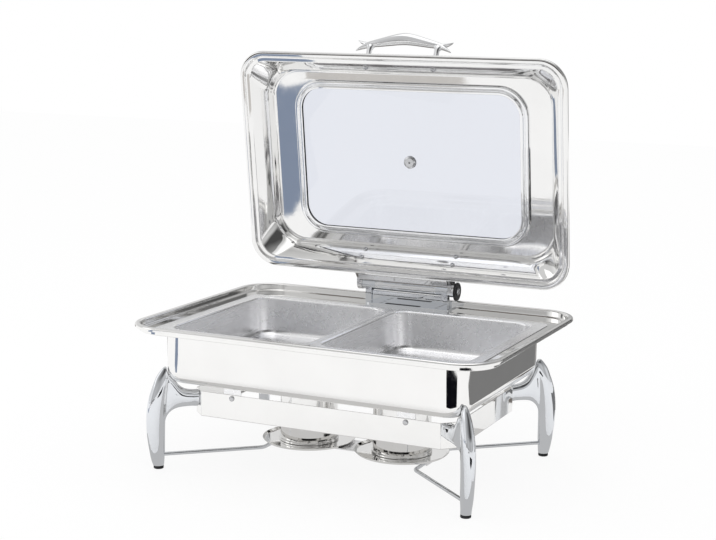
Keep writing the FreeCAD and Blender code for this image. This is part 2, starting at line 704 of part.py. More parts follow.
def window():
    """Glass with its vent, the rubber channel round it and the frame that holds it."""
    low = ROOF_IN - GLASS_SINK
    high = low + GLASS_THICK
    glass = window_slab(0, low, high)
    hole = Part.makeCylinder(VENT_STEM / 2.0, GLASS_THICK, V(0, LID_CENTRE, low))
    PIECES["window_glass"] = glass.cut(hole).Solids[0]

    under = low - SEAL_THICK
    over = high + SEAL_THICK
    seal = window_slab(SEAL_WALL, under, over).cut(window_slab(-SEAL_LIP, under, over))
    lips = edges_at(seal, under) + edges_at(seal, over)
    seal = seal.makeFillet(SEAL_THICK / 2.0, [e for e in lips if inner_edge(e)])
    PIECES["window_seal"] = seal.cut(window_slab(0, low, high)).Solids[0]

    base = ROOF_IN - TRIM_HEIGHT
    trim = window_slab(SEAL_WALL + TRIM_WIDTH, base, ROOF_IN).cut(window_slab(SEAL_WALL, base, ROOF_IN))
    PIECES["window_frame"] = trim.makeFillet(TRIM_ROUND, edges_at(trim, base)).Solids[0]

    vent = join(
        Part.makeCylinder(VENT_STEM / 2.0, GLASS_THICK, V(0, 0, low)),
        vent_flange(low, -1),
        vent_flange(high, 1),
    )
    vent = vent.cut(Part.makeCylinder(VENT_BORE / 2.0, 4 * GLASS_THICK, V(0, 0, low - GLASS_THICK)))
    vent.translate(V(0, LID_CENTRE, 0))
    PIECES["vent_grommet"] = vent


def inner_edge(edge):
    """True for an edge of the seal's inner outline."""
    middle = edge.BoundBox.Center
    half_x = (GLASS_LENGTH - SEAL_LIP) / 2.0
    half_y = (GLASS_DEPTH - SEAL_LIP) / 2.0
    return abs(middle.x) < half_x and abs(middle.y - LID_CENTRE) < half_y


def vent_flange(z, way):
    """Round flange of the vent on one face of the glass, with a rounded edge."""
    disc = Part.makeCylinder(VENT_DIAMETER / 2.0, VENT_FLANGE, V(0, 0, z), V(0, 0, way))
    return disc.makeFillet(VENT_FLANGE / 2.0, edges_at(disc, z + way * VENT_FLANGE))


def handle(shell, outer):
    """Arched handle with forked ends on two posts, its washers and its screws."""
    inset, z = wall_point(1)
    foot = V(0, LID_FRONT + inset, z)
    lean = math.radians(wall_slope(0, 2))
    out = V(0, -math.cos(lean), math.sin(lean))
    along = V(0, math.sin(lean), math.cos(lean))
    surface = LID_SHEET * math.cos(lean) * 0.5 + LID_SHEET * 0.5

    def spot(x, reach):
        lean_back = GRIP_BACK * min(reach / POST_LENGTH, 1.0) ** 3
        return foot + V(x, 0, 0) + out * reach + along * lean_back

    def section(x, reach, half_height, half_width, power=2.2):
        return oval(spot(x, reach), along, out, half_width, half_height, power)

    def post_ring(x, reach, diameter):
        return oval(spot(x, reach), V(1, 0, 0), along, diameter / 2.0, diameter / 2.0)

    half = HANDLE_SPACING / 2.0
    end = HANDLE_LENGTH / 2.0
    crown = HANDLE_REACH - GRIP_HEIGHT / 2.0
    grip = []
    for x, reach, high, wide in (
        (-half - 6.0, POST_LENGTH + 0.6, 0.44, 0.62),
        (-half + 10.0, POST_LENGTH + 3.9, 0.63, 0.80),
        (-half * 0.42, crown - 3.2, 0.86, 0.95),
        (0.0, crown, 1.0, 1.0),
        (half * 0.42, crown - 3.2, 0.86, 0.95),
        (half - 10.0, POST_LENGTH + 3.9, 0.63, 0.80),
        (half + 6.0, POST_LENGTH + 0.6, 0.44, 0.62),
    ):
        grip.append(section(x, reach, high * GRIP_HEIGHT / 2.0, wide * GRIP_WIDTH / 2.0))
    pieces = [Part.makeLoft(grip, True, False)]
    for side in (-1, 1):
        for rise in (FORK_RISE, -FORK_DROP):
            fork = []
            for share, lift, high, wide in (
                (0.0, 0.0, 3.6, 4.8),
                (0.38, 0.16, 3.7, 5.0),
                (0.74, 0.55, 2.6, 4.0),
                (1.0, 1.0, 0.8, 1.3),
            ):
                x = side * (half - 4.0 + share * (end - half + 4.0))
                fork.append(section(x, POST_LENGTH + lift * rise, high, wide, 2.0))
            pieces.append(Part.makeLoft(fork, True, False))
    washers = []
    screws = []
    seat = surface + WASHER_THICK
    for side in (-1, 1):
        at = foot + V(side * half, 0, 0)
        post = []
        for reach, diameter in (
            (seat, POST_FOOT),
            (seat + POST_FLARE * 0.4, POST_FOOT - 2.6),
            (seat + POST_FLARE, POST_DIAMETER),
            (POST_LENGTH * 0.45, POST_DIAMETER - 0.6),
            (POST_LENGTH * 0.72, POST_DIAMETER),
            (POST_LENGTH, POST_DIAMETER + 2.0),
        ):
            post.append(post_ring(side * half, reach, diameter))
        pieces.append(Part.makeLoft(post, True, False))
        washer = Part.makeCylinder(WASHER_DIAMETER / 2.0, seat + 2.0, at - out * 2.0, out).cut(outer)
        depth = LID_SHEET + SCREW_HEAD_HEIGHT
        length = seat + HANDLE_THREAD + depth / 2.0
        shank = Part.makeCylinder(HANDLE_SCREW / 2.0, length, at - out * depth / 2.0, out)
        head = Part.makeCylinder(HANDLE_SCREW_HEAD / 2.0, depth, at - out * (depth - surface), out)
        head = nearest(head.cut(shell).Solids, at - out * depth)
        screw = join(shank, head)
        washers.append(washer.cut(shank))
        screws.append(screw)
        shell = shell.cut(shank)
    body = join(*pieces)
    for screw in screws:
        body = body.cut(screw)
    PIECES["handle"] = body.Solids[0]
    PIECES["handle_washers"] = group(washers)
    PIECES["handle_screws"] = group(screws)
    return shell


def nearest(solids, point):
    """The solid whose middle is closest to a point."""
    return min(solids, key=lambda s: (s.CenterOfMass - point).Length)


# Hinge

X_ARM = HINGE_LEFT + ARM_LEFT
X_LEFT = X_ARM + RUN_GAP
X_TUBE = X_LEFT + KNUCKLE_LEFT
X_TUBE_END = X_TUBE + TUBE_LENGTH
X_RIGHT = X_TUBE_END + KNUCKLE_RIGHT
X_ARM_RIGHT = X_RIGHT + RUN_GAP
X_CAP = X_ARM_RIGHT + ARM_RIGHT


def barrel(x0, x1, diameter):
    """Round piece on the hinge line."""
    return rod_x(x0, x1, diameter / 2.0, HINGE_Y, HINGE_Z)


def hinge_base():
    """Plate on the rim's ledge with two knuckles, its screws and the lid's rubber buffer."""
    ledge = RIM_LEDGE
    top = ledge + BASE_THICK
    back = RIM_BACK - LIP_WIDTH - BASE_CLEAR
    ear_left = X_LEFT + (KNUCKLE_LEFT - EAR_WIDTH) / 2.0
    ear_right = X_RIGHT - EAR_WIDTH
    ear_front = HINGE_Y - EAR_FORWARD
    plate = box(BASE_LEFT, X_CAP, BASE_FRONT, back, ledge, top)
    front = [e for e in plate.Edges if e.BoundBox.YMax < BASE_FRONT + 1.0]
    plate = plate.makeFillet(BASE_CORNER, [e for e in front if e.BoundBox.ZLength > BASE_THICK / 2.0])
    strip = box(ear_left, BASE_LEFT, ear_front, back, ledge, top)
    saddle_top = HINGE_Z - KNUCKLE_DIAMETER / 2.0 - SADDLE_CLEAR
    bore = PIN_DIAMETER + 2 * PIN_CLEARANCE
    base = join(
        plate,
        strip,
        box(ear_left, ear_left + EAR_WIDTH, ear_front, back, top, HINGE_Z),
        box(ear_right, X_RIGHT, ear_front, back, top, HINGE_Z),
        box(ear_left, X_RIGHT, HINGE_Y - SADDLE_THICK, HINGE_Y, top, saddle_top),
        barrel(X_LEFT, X_TUBE, KNUCKLE_DIAMETER),
        barrel(X_TUBE_END, X_RIGHT, KNUCKLE_DIAMETER),
    )
    base = base.cut(barrel(X_LEFT, X_RIGHT, bore))
    middle = (BASE_LEFT + X_CAP) / 2.0
    y = BUFFER_FRONT + BUFFER_WIDTH / 2.0
    slot = slab(BUFFER_LENGTH, BUFFER_WIDTH, BUFFER_WIDTH / 2.5, ledge, top + BUFFER_RISE, 0, y)
    PIECES["lid_buffer"] = slot
    base = base.cut(slot)
    rim = PIECES["rim_frame"]
    screws = []
    for x in (middle - BASE_SCREW_SPAN / 2.0, middle + BASE_SCREW_SPAN / 2.0):
        for y in (BASE_SCREW_FRONT, BASE_SCREW_BACK):
            below = ledge - RIM_SHEET
            shank = Part.makeCylinder(BASE_SCREW / 2.0, top - below, V(x, y, below))
            sink = (BASE_SCREW_HEAD - BASE_SCREW) / 2.0
            head = Part.makeCone(BASE_SCREW / 2.0, BASE_SCREW_HEAD / 2.0, sink, V(x, y, top - sink))
            nut = Part.makeCylinder(BASE_SCREW_HEAD / 2.0, NUT_HEIGHT, V(x, y, below - NUT_HEIGHT))
            screw = join(shank, head, nut)
            screws.append(screw)
            base = base.cut(screw)
            rim = rim.cut(screw)
    PIECES["rim_frame"] = rim.Solids[0]
    PIECES["hinge_base"] = base.Solids[0]
    PIECES["hinge_base_screws"] = group(screws)


def damper():
    """Oil-filled tube with a fixed abutment, and the vane that turns in it with the lid."""
    bore = DAMPER_BORE / 2.0
    shaft = ROTOR_DIAMETER / 2.0
    tube = barrel(X_TUBE, X_TUBE_END, KNUCKLE_DIAMETER).cut(barrel(X_TUBE, X_TUBE_END, DAMPER_BORE))
    inner_x = X_TUBE + SEAL_RING
    inner_end = X_TUBE_END - SEAL_RING
    wall = box(inner_x, inner_end, -ABUTMENT_THICK / 2.0, ABUTMENT_THICK / 2.0, -bore - 1.0, 0)
    wall.translate(V(0, HINGE_Y, HINGE_Z))
    keep = barrel(X_TUBE, X_TUBE_END, DAMPER_BORE + 1.0)
    clear = barrel(X_TUBE, X_TUBE_END, ROTOR_DIAMETER + 2 * VANE_CLEAR)
    PIECES["damper_tube"] = join(tube, wall.common(keep).cut(clear))

    rings = []
    for x in (X_TUBE, inner_end):
        ring = barrel(x, x + SEAL_RING, DAMPER_BORE)
        rings.append(ring.cut(barrel(x, x + SEAL_RING, PIN_DIAMETER + 2 * PIN_CLEARANCE)))
    PIECES["damper_seals"] = group(rings)

    x0 = inner_x + RUN_GAP
    x1 = inner_end - RUN_GAP
    core = barrel(x0, x1, ROTOR_DIAMETER)
    vane = box(x0, x1, 0, bore + 1.0, -VANE_THICK / 2.0, VANE_THICK / 2.0)
    near = shaft + VANE_CLEAR
    half_vane = math.asin(VANE_THICK / 2.0 / near)
    half_wall = math.asin(ABUTMENT_THICK / 2.0 / near)
    rest = -90.0 + math.degrees(half_vane + half_wall + STOP_GAP / near)
    vane.rotate(V(0, 0, 0), V(1, 0, 0), rest + OPEN_ANGLE)
    vane.translate(V(0, HINGE_Y, HINGE_Z))
    vane = vane.common(barrel(x0, x1, DAMPER_BORE - 2 * VANE_CLEAR))
    PIECES["damper_rotor"] = join(core, vane).cut(barrel(x0, x1, PIN_DIAMETER))


def lid_bracket(shell, outer):
    """Two arms and a crossbar that carry the lid, with pads screwed to its back wall."""
    inset_a, z_a = wall_point(1)
    inset_b, z_b = wall_point(2)
    low = V(0, LID_BACK - inset_a, z_a)
    high = V(0, LID_BACK - inset_b, z_b)
    up = high - low
    up.normalize()
    out = V(0, up.z, -up.y)
    middle = (low + high) * 0.5
    boss = BOSS_DIAMETER / 2.0
    over_edge = LID_PLATE + LID_ROLL / 2.0 + 3.0
    side = [
        V(0, HINGE_Y, HINGE_Z + boss),
        V(0, HINGE_Y - 21.0, HINGE_Z + boss + 1.0),
        high + up * 5.0 + out * 4.0,
        high + up * 5.0 - out * 6.0,
        V(0, low.y - 6.0, over_edge),
        V(0, LID_BACK + 1.0, over_edge),
        V(0, HINGE_Y - 12.0, HINGE_Z - boss + 1.5),
        V(0, HINGE_Y, HINGE_Z - boss),
    ]
    profile = Part.Face(Part.makePolygon(side + side[:1]))

    def arm(x0, x1, web0, web1, pad0):
        web = profile.extrude(V(web1 - web0, 0, 0))
        web.translate(V(web0, 0, 0))
        pad = Part.makeBox(PAD_WIDTH, PAD_HEIGHT, PAD_THICK + PAD_SINK)
        origin = middle + V(pad0, 0, 0) - up * (PAD_HEIGHT / 2.0) - out * PAD_SINK
        pad.Placement = FreeCAD.Placement(origin, FreeCAD.Rotation(V(1, 0, 0), up, out, "XYZ"))
        return [barrel(x0, x1, BOSS_DIAMETER), web, pad]

    turn = math.radians(BRIDGE_ANGLE)
    y = HINGE_Y + BRIDGE_RADIUS * math.cos(turn)
    z = HINGE_Z + BRIDGE_RADIUS * math.sin(turn)
    bridge = box(
        HINGE_LEFT + WEB_THICK - 1.0,
        X_ARM_RIGHT + 1.0,
        y - BRIDGE_DEPTH / 2.0,
        y + BRIDGE_DEPTH / 2.0,
        z - BRIDGE_HEIGHT / 2.0,
        z + BRIDGE_HEIGHT / 2.0,
    )
    long_edges = [e for e in bridge.Edges if e.BoundBox.XLength > TUBE_LENGTH / 2.0]
    bridge = bridge.makeFillet(BRIDGE_ROUND, long_edges)
    pieces = arm(HINGE_LEFT, X_ARM, HINGE_LEFT, HINGE_LEFT + WEB_THICK, HINGE_LEFT)
    pieces += arm(X_ARM_RIGHT, X_CAP, X_ARM_RIGHT, X_ARM_RIGHT + WEB_THICK, X_ARM_RIGHT)
    pieces.append(bridge)
    bracket = pieces[0].fuse(pieces[1:]).cut(outer).removeSplitter()
    bracket = nearest(bracket.Solids, V(0, HINGE_Y, HINGE_Z))
    bracket = bracket.cut(barrel(HINGE_LEFT, X_CAP, PIN_DIAMETER))
    hole = Part.makeCylinder(BRIDGE_HOLE / 2.0, 2 * BRIDGE_HEIGHT, V(BRIDGE_HOLE_X, y, z - BRIDGE_HEIGHT))
    bracket = bracket.cut(hole)

    screws = []
    depth = LID_SHEET + SCREW_HEAD_HEIGHT
    for x in (-BRACKET_SCREW_X, BRACKET_SCREW_X):
        for point in (low, high):
            at = point + V(x, 0, 0)
            length = depth / 2.0 + LID_SHEET + PAD_THICK
            shank = Part.makeCylinder(BRACKET_SCREW / 2.0, length, at - out * depth / 2.0, out)
            radius = BRACKET_SCREW_HEAD / 2.0
            nut = Part.makeCylinder(radius, NUT_HEIGHT, at + out * PAD_THICK, out)
            head = Part.makeCylinder(radius, depth, at - out * (depth - LID_SHEET), out)
            head = nearest(head.cut(shell).Solids, at - out * depth)
            screw = join(shank, nut, head)
            screws.append(screw)
            bracket = bracket.cut(screw)
            shell = shell.cut(shank)
    PIECES["lid_bracket"] = nearest(bracket.Solids, V(0, HINGE_Y, HINGE_Z))
    PIECES["bracket_screws"] = group(screws)
    return shell


def pin_and_cap():
    """Pin through the whole hinge, and the cap screwed on its right end."""
    pin = barrel(HINGE_LEFT, X_CAP, PIN_DIAMETER)
    cap = barrel(X_CAP, X_CAP + CAP_THICK, CAP_DIAMETER)
    face = X_CAP + CAP_THICK
    cap = cap.makeFillet(CAP_ROUND, [e for e in cap.Edges if e.BoundBox.XMin > face - 0.01])
    screw = barrel(X_CAP - CAP_SCREW_REACH, face, CAP_SCREW)
    head = barrel(face, face + CAP_SCREW_HEAD_HEIGHT, CAP_SCREW_HEAD)
    screw = join(screw, head)
    PIECES["hinge_pin"] = pin.cut(screw)
    PIECES["damper_cap"] = cap.cut(screw)
    PIECES["cap_screw"] = screw


def opened(shape):
    """Turn a piece of the lid from closed to open."""
    turned = shape.copy()
    turned.rotate(V(0, HINGE_Y, HINGE_Z), V(1, 0, 0), -OPEN_ANGLE)
    return turned


LID_PIECES = [
    "lid_shell", "window_frame", "window_seal", "window_glass", "vent_grommet",
    "handle", "handle_washers", "handle_screws", "lid_bracket", "bracket_screws",
    "hinge_pin", "damper_rotor", "damper_cap", "cap_screw",
]


def build():
    """Make every piece, open the lid, bring the origin under the middle and export."""
    stand()
    burners()
    water_pan()
    PIECES["food_pan_left"] = food_pan(-1)
    PIECES["food_pan_right"] = food_pan(1)
    hinge_base()
    damper()
    pin_and_cap()
    shell, outer = lid_shell()
    window()
    shell = handle(shell, outer)
    shell = lid_bracket(shell, outer)
    PIECES["lid_shell"] = shell.Solids[0]
    for name in LID_PIECES:
        PIECES[name] = opened(PIECES[name])
    back = max(shape.optimalBoundingBox(False).YMax for shape in PIECES.values())
    middle = (RIM_FRONT + round(back, 1)) / 2.0
    os.makedirs("parts", exist_ok=True)
    for name, shape in PIECES.items():
        shape.translate(V(0, -middle, 0))
        shape.exportStep("parts/" + name + ".step")


build()
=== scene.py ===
"""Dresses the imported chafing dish: smooth pressed, turned and cast meshes with their finishes,
on a pale studio floor, seen by the camera of the photograph."""

import json
import logging
import math
from dataclasses import dataclass, field
from enum import Enum

import bmesh
import bpy
from mathutils import Matrix, Vector


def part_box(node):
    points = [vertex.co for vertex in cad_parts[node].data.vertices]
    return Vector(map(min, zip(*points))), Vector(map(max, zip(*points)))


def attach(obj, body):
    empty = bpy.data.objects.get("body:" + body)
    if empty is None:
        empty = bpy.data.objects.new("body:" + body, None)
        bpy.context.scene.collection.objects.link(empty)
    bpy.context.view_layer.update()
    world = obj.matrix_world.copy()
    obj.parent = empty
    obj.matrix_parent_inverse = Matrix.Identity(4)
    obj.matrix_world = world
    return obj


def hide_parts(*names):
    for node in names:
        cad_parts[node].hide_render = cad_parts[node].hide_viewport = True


LOG = logging.getLogger("chafing_dish")
MM = 0.001
X_AXIS = Vector((1.0, 0.0, 0.0))
Z_AXIS = Vector((0.0, 0.0, 1.0))
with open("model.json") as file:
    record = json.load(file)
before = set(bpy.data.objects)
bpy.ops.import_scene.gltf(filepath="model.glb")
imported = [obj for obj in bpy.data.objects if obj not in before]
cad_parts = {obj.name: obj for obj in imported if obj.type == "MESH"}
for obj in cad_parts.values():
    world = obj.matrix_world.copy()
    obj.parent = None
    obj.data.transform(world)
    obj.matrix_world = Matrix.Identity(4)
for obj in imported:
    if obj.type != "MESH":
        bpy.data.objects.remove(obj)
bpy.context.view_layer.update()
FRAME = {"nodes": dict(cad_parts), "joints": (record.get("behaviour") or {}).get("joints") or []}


class Body(Enum):
    """Moving bodies of the dish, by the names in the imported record."""

    STAND = "stand"
    BATH = "bath"
    LID = "lid"
    PAN_LEFT = "pan_left"
    PAN_RIGHT = "pan_right"
    CUP_LEFT = "cup_left"
    CUP_RIGHT = "cup_right"


class Slot(Enum):
    """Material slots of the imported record."""

    POLISHED = "polished_steel"
    SATIN = "satin_steel"
    CHROME = "chrome"
    BRIGHT = "bright_screws"
    GLASS = "glass"
    RUBBER = "black_rubber"
    PLASTIC = "black_plastic"


class Side(Enum):
    """Left and right end of the dish, as the sign of X."""

    LEFT = -1
    RIGHT = 1

    @property
    def word(self) -> str:
        """Name of the side in lower case."""
        return self.name.lower()


# Places read from the frame, in millimetres

def node_box(node: str) -> tuple[Vector, Vector]:
    """Lowest and highest corner of a node in millimetres."""
    low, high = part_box(node)
    return low / MM, high / MM


def stand_line() -> float:
    """Y of the stand's centre line in millimetres."""
    low, high = node_box("stand_frame")
    return (low.y + high.y) / 2.0


STAND_Y = stand_line()
HINGE = next(j for j in FRAME["joints"] if j["name"] == "lid_hinge")
PIN = Vector(HINGE["pos_m"]) / MM
OPEN_ANGLE = math.radians(-HINGE["range_deg"][0])


# Meshes

def bend(before: Vector, here: Vector, after: Vector, radius: float, steps: int) -> list[Vector]:
    """Arc that rounds the corner at here.

    Args:
        before: Point before the corner.
        here: The corner.
        after: Point after it.
        radius: Radius of the arc, or 0 to keep the corner.
        steps: Segments of the arc.

    Returns:
        The points that stand in for the corner.
    """
    back = (before - here).normalized()
    ahead = (after - here).normalized()
    half = back.angle(ahead) / 2.0
    if radius <= 0.0 or half > math.radians(89.5):
        return [here]
    middle = (back + ahead).normalized()
    centre = here + middle * (radius / math.sin(half))
    side = (ahead - back).normalized()
    turn = math.pi / 2.0 - half
    arc = []
    for k in range(steps + 1):
        angle = turn * (2.0 * k / steps - 1.0)
        arc.append(centre - middle * (radius * math.cos(angle)) + side * (radius * math.sin(angle)))
    return arc


def rounded_path(points: list[tuple[float, ...]], closed: bool = False, steps: int = 5) -> list[Vector]:
    """Path in a plane with rounded corners.

    Args:
        points: (a, b) for a sharp point, (a, b, radius) for a rounded one.
        closed: True for a loop.
        steps: Segments in each rounded corner.

    Returns:
        The path's points, with an arc in place of each rounded corner.
    """
    flat = [Vector(point[:2]) for point in points]
    path: list[Vector] = []
    for i, point in enumerate(points):
        radius = point[2] if len(point) > 2 else 0.0
        if not closed and i in (0, len(points) - 1):
            radius = 0.0
        path.extend(bend(flat[i - 1], flat[i], flat[(i + 1) % len(flat)], radius, steps))
    return path


@dataclass(frozen=True)
class RoundRect:
    """Rectangle with round corners, seen from above, in millimetres."""

    half_x: float
    half_y: float
    corner: float
    middle_x: float = 0.0
    middle_y: float = 0.0
    steps: int = 14

    def shrunk(self, inset: float, corner: float | None = None) -> "RoundRect":
        """The same outline drawn in by inset, with its natural or a given corner.

        Args:
            inset: Distance that each side moves in.
            corner: Corner radius, or None for the one that keeps the sides parallel.

        Returns:
            The smaller outline.
        """
        radius = self.corner - inset if corner is None else corner
        return RoundRect(
            self.half_x - inset, self.half_y - inset, max(radius, 0.6), self.middle_x, self.middle_y, self.steps
        )

    def ring(self, z: float) -> list[Vector]:
        """Points of the outline at height z, anticlockwise from above.

        Args:
            z: Height of the ring.

        Returns:
            The points.
        """
        points = []
        for quarter, (sx, sy) in enumerate(((1, -1), (1, 1), (-1, 1), (-1, -1))):
            centre = Vector((
                self.middle_x + sx * (self.half_x - self.corner),
                self.middle_y + sy * (self.half_y - self.corner),
                z,
            ))
            first = math.radians(-90.0 + 90.0 * quarter)
            for k in range(self.steps + 1):
                turn = first + math.radians(90.0) * k / self.steps
                points.append(centre + Vector((math.cos(turn), math.sin(turn), 0.0)) * self.corner)
        return points


class Skin:
    """Mesh that is put together from rings of points, in millimetres."""

    def __init__(self) -> None:
        """Start an empty mesh."""
        self.points: list[Vector] = []
        self.faces: list[list[int]] = []

    def ring(self, points: list[Vector]) -> list[int]:
        """Add points to the mesh.

        Args:
            points: The points.

        Returns:
            Their numbers in the mesh.
        """
        first = len(self.points)
        self.points.extend(points)
        return list(range(first, first + len(points)))

    def bridge(self, a: list[int], b: list[int], closed: bool = True) -> None:
        """Join two rings of the same count with four-sided faces.

        Args:
            a: Numbers of the first ring.
            b: Numbers of the second ring.
            closed: False for open lines, whose ends stay apart.
        """
        count = len(a)
        for i in range(count if closed else count - 1):
            j = (i + 1) % count
            self.faces.append([a[i], a[j], b[j], b[i]])

    def cap(self, ring: list[int]) -> None:
        """Close a ring with one face."""
        self.faces.append(list(ring))

    def loft(self, rings: list[list[Vector]], closed: bool = False, caps: bool = True) -> None:
        """Join rings one after another, and cap the ends or close the loop.

        Args:
            rings: Points of each ring, all of the same count.
            closed: True to join the last ring to the first.
            caps: True to close both ends of an open loft.
        """
        numbers = [self.ring(points) for points in rings]
        for a, b in zip(numbers, numbers[1:]):
            self.bridge(a, b)
        if closed:
            self.bridge(numbers[-1], numbers[0])
        elif caps:
            self.cap(numbers[0])
            self.cap(numbers[-1])

    def turned(self, profile: list[tuple[float, float]], base: Vector, axis: Vector, steps: int = 96) -> None:
        """Turn a profile of (radius, height) about an axis through base.

        Args:
            profile: Radius and height of each point.
            base: Point on the axis at height 0.
            axis: Direction of the axis.
            steps: Facets round the axis.
        """
        side = axis.orthogonal().normalized()
        other = axis.cross(side).normalized()
        rings = []
        for radius, height in profile:
            middle = base + axis * height
            ring = []
            for k in range(steps):
                a = 2.0 * math.pi * k / steps
                ring.append(middle + (side * math.cos(a) + other * math.sin(a)) * radius)
            rings.append(ring)
        self.loft(rings, caps=False)
        for ring, (radius, _) in ((0, profile[0]), (-1, profile[-1])):
            if radius > 0.0:
                self.cap(self.ring(rings[ring]))

    def build(self, name: str, sharp: float = 38.0, place: Matrix | None = None) -> bpy.types.Object:
        """Turn the rings into an object in metres, shaded smooth but for its sharp edges.

        Args:
            name: Name of the object.
            sharp: Edges that turn by more degrees than this stay sharp.
            place: Placement of the finished mesh, or None.

        Returns:
            The object, linked to the scene.
        """
        mesh = bpy.data.meshes.new(name)
        mesh.from_pydata([point * MM for point in self.points], [], self.faces)
        if place is not None:
            mesh.transform(place)
        return shaded(name, mesh, sharp)


def shaded(name: str, mesh: bpy.types.Mesh, sharp: float = 38.0, ease: float = 0.0) -> bpy.types.Object:
    """Merge a mesh's doubles, point its faces outwards and shade it.

    Args:
        name: Name of the new object.
        mesh: The mesh, in metres.
        sharp: Edges that turn by more degrees than this stay sharp, or are eased.
        ease: Width of the rounding over those edges, in millimetres.

    Returns:
        The object, linked to the scene.
    """
    work = bmesh.new()
    work.from_mesh(mesh)
    bmesh.ops.remove_doubles(work, verts=work.verts, dist=2e-6)
    if ease > 0.0:
        bmesh.ops.dissolve_limit(work, angle_limit=math.radians(0.5), verts=work.verts, edges=work.edges)
    bmesh.ops.recalc_face_normals(work, faces=work.faces)
    work.to_mesh(mesh)
    work.free()
    mesh.polygons.foreach_set("use_smooth", [True] * len(mesh.polygons))
    obj = bpy.data.objects.new(name, mesh)
    bpy.context.scene.collection.objects.link(obj)
    if ease > 0.0:
        rounding = obj.modifiers.new("eased_edges", "BEVEL")
        rounding.width = ease * MM
        rounding.segments = 2
        rounding.limit_method = "ANGLE"
        rounding.angle_limit = math.radians(sharp)
    else:
        mesh.set_sharp_from_angle(angle=math.radians(sharp))
    weighting = obj.modifiers.new("even_shading", "WEIGHTED_NORMAL")
    weighting.keep_sharp = True
    weighting.weight = 60
    return obj


def settle(obj: bpy.types.Object) -> bpy.types.Object:
    """Apply an object's modifiers for good.

    Args:
        obj: The object whose modifiers are live.

    Returns:
        The same object with a plain mesh.
    """
    view = bpy.context.evaluated_depsgraph_get()
    mesh = bpy.data.meshes.new_from_object(obj.evaluated_get(view), depsgraph=view)
    obj.modifiers.clear()
    obj.data = mesh
    return obj


def from_frame(node: str, name: str, sharp: float = 30.0, ease: float = 0.0) -> bpy.types.Object:
    """Smoothly shaded copy of a node whose shape is already right.

    Args:
        node: The node to copy.
        name: Name of the copy.
        sharp: Edges that turn by more degrees than this stay sharp, or are eased.
        ease: Width of the rounding over those edges, in millimetres.

    Returns:
        The new object, in the node's place.
    """
    mesh = FRAME["nodes"][node].data.copy()
    mesh.materials.clear()
    return shaded(name, mesh, sharp, ease)


def cast(node: str, name: str, grain: float, passes: int) -> bpy.types.Object:
    """Casting with its joints run together and its edges rounded.

    Args:
        node: The node to start from.
        name: Name of the casting.
        grain: Size of its mesh, in millimetres.
        passes: Smoothing passes.

    Returns:
        The new object, in the node's place.
    """
    obj = from_frame(node, name)
    obj.modifiers.clear()
    even = obj.modifiers.new("even_mesh", "REMESH")
    even.mode = "VOXEL"
    even.voxel_size = grain * MM
    soft = obj.modifiers.new("run_together", "SMOOTH")
    soft.factor = 0.5
    soft.iterations = passes
    settle(obj)
    obj.data.polygons.foreach_set("use_smooth", [True] * len(obj.data.polygons))
    return obj


# Finishes

# Values of a noise pattern between which a colour or number runs
PATTERN_LOW = 0.3
PATTERN_HIGH = 0.7


@dataclass(frozen=True)
class Metal:
    """Bare or plated metal with a faint unevenness and fine rubbing marks."""

    name: str
    colour: tuple[float, float, float]
    roughness: float
    ripple: float = 0.0
    ripple_size: float = 9.0
    grain: float = 0.0
    grain_stretch: tuple[float, float, float] = (1.0, 1.0, 1.0)
    smudge: float = 0.02

    def make(self) -> bpy.types.Material:
        """Build the material.

        Returns:
            The material.
        """
        sheet = Sheet(self.name)
        sheet.shader.inputs["Metallic"].default_value = 1.0
        spots = sheet.noise(14.0, 3.0, 0.55)
        tint = sheet.ramp(spots, shade(self.colour, 0.965), shade(self.colour, 1.0))
        sheet.join(tint, "Base Color")
        streaks = sheet.noise(60.0, 2.0, 0.6, self.grain_stretch)
        low = max(self.roughness - self.smudge, 0.0)
        sheet.join(sheet.span(streaks, low, self.roughness + self.smudge), "Roughness")
        heights = []
        if self.ripple > 0.0:
            heights.append((sheet.noise(self.ripple_size, 1.5, 0.4), self.ripple))
        if self.grain > 0.0:
            heights.append((sheet.noise(900.0, 2.0, 0.5, self.grain_stretch), self.grain))
        sheet.bumps(heights)
        return sheet.material


@dataclass(frozen=True)
class Moulded:
    """Rubber or plastic with a fine moulded grain."""

    name: str
    colour: tuple[float, float, float]
    roughness: float
    grain: float = 0.00002

    def make(self) -> bpy.types.Material:
        """Build the material.

        Returns:
            The material.
        """
        sheet = Sheet(self.name)
        spots = sheet.noise(60.0, 3.0, 0.6)
        sheet.join(sheet.ramp(spots, self.colour, shade(self.colour, 1.5)), "Base Color")
        sheet.join(sheet.span(spots, self.roughness - 0.06, self.roughness + 0.06), "Roughness")
        sheet.bumps([(sheet.noise(1400.0, 2.0, 0.5), self.grain)])
        return sheet.material


@dataclass(frozen=True)
class Pane:
    """Clear tempered glass, faintly tinted."""

    name: str
    tint: tuple[float, float, float]

    def make(self) -> bpy.types.Material:
        """Build the material.

        Returns:
            The material.
        """
        sheet = Sheet(self.name)
        sheet.shader.inputs["Transmission Weight"].default_value = 1.0
        sheet.shader.inputs["IOR"].default_value = 1.45
        spots = sheet.noise(5.0, 2.0, 0.5)
        sheet.join(sheet.ramp(spots, shade(self.tint, 0.99), self.tint), "Base Color")
        sheet.join(sheet.span(spots, 0.0, 0.015), "Roughness")
        return sheet.material


def shade(colour: tuple[float, float, float], share: float) -> tuple[float, float, float]:
    """A colour made darker or lighter."""
    return tuple(min(channel * share, 1.0) for channel in colour)


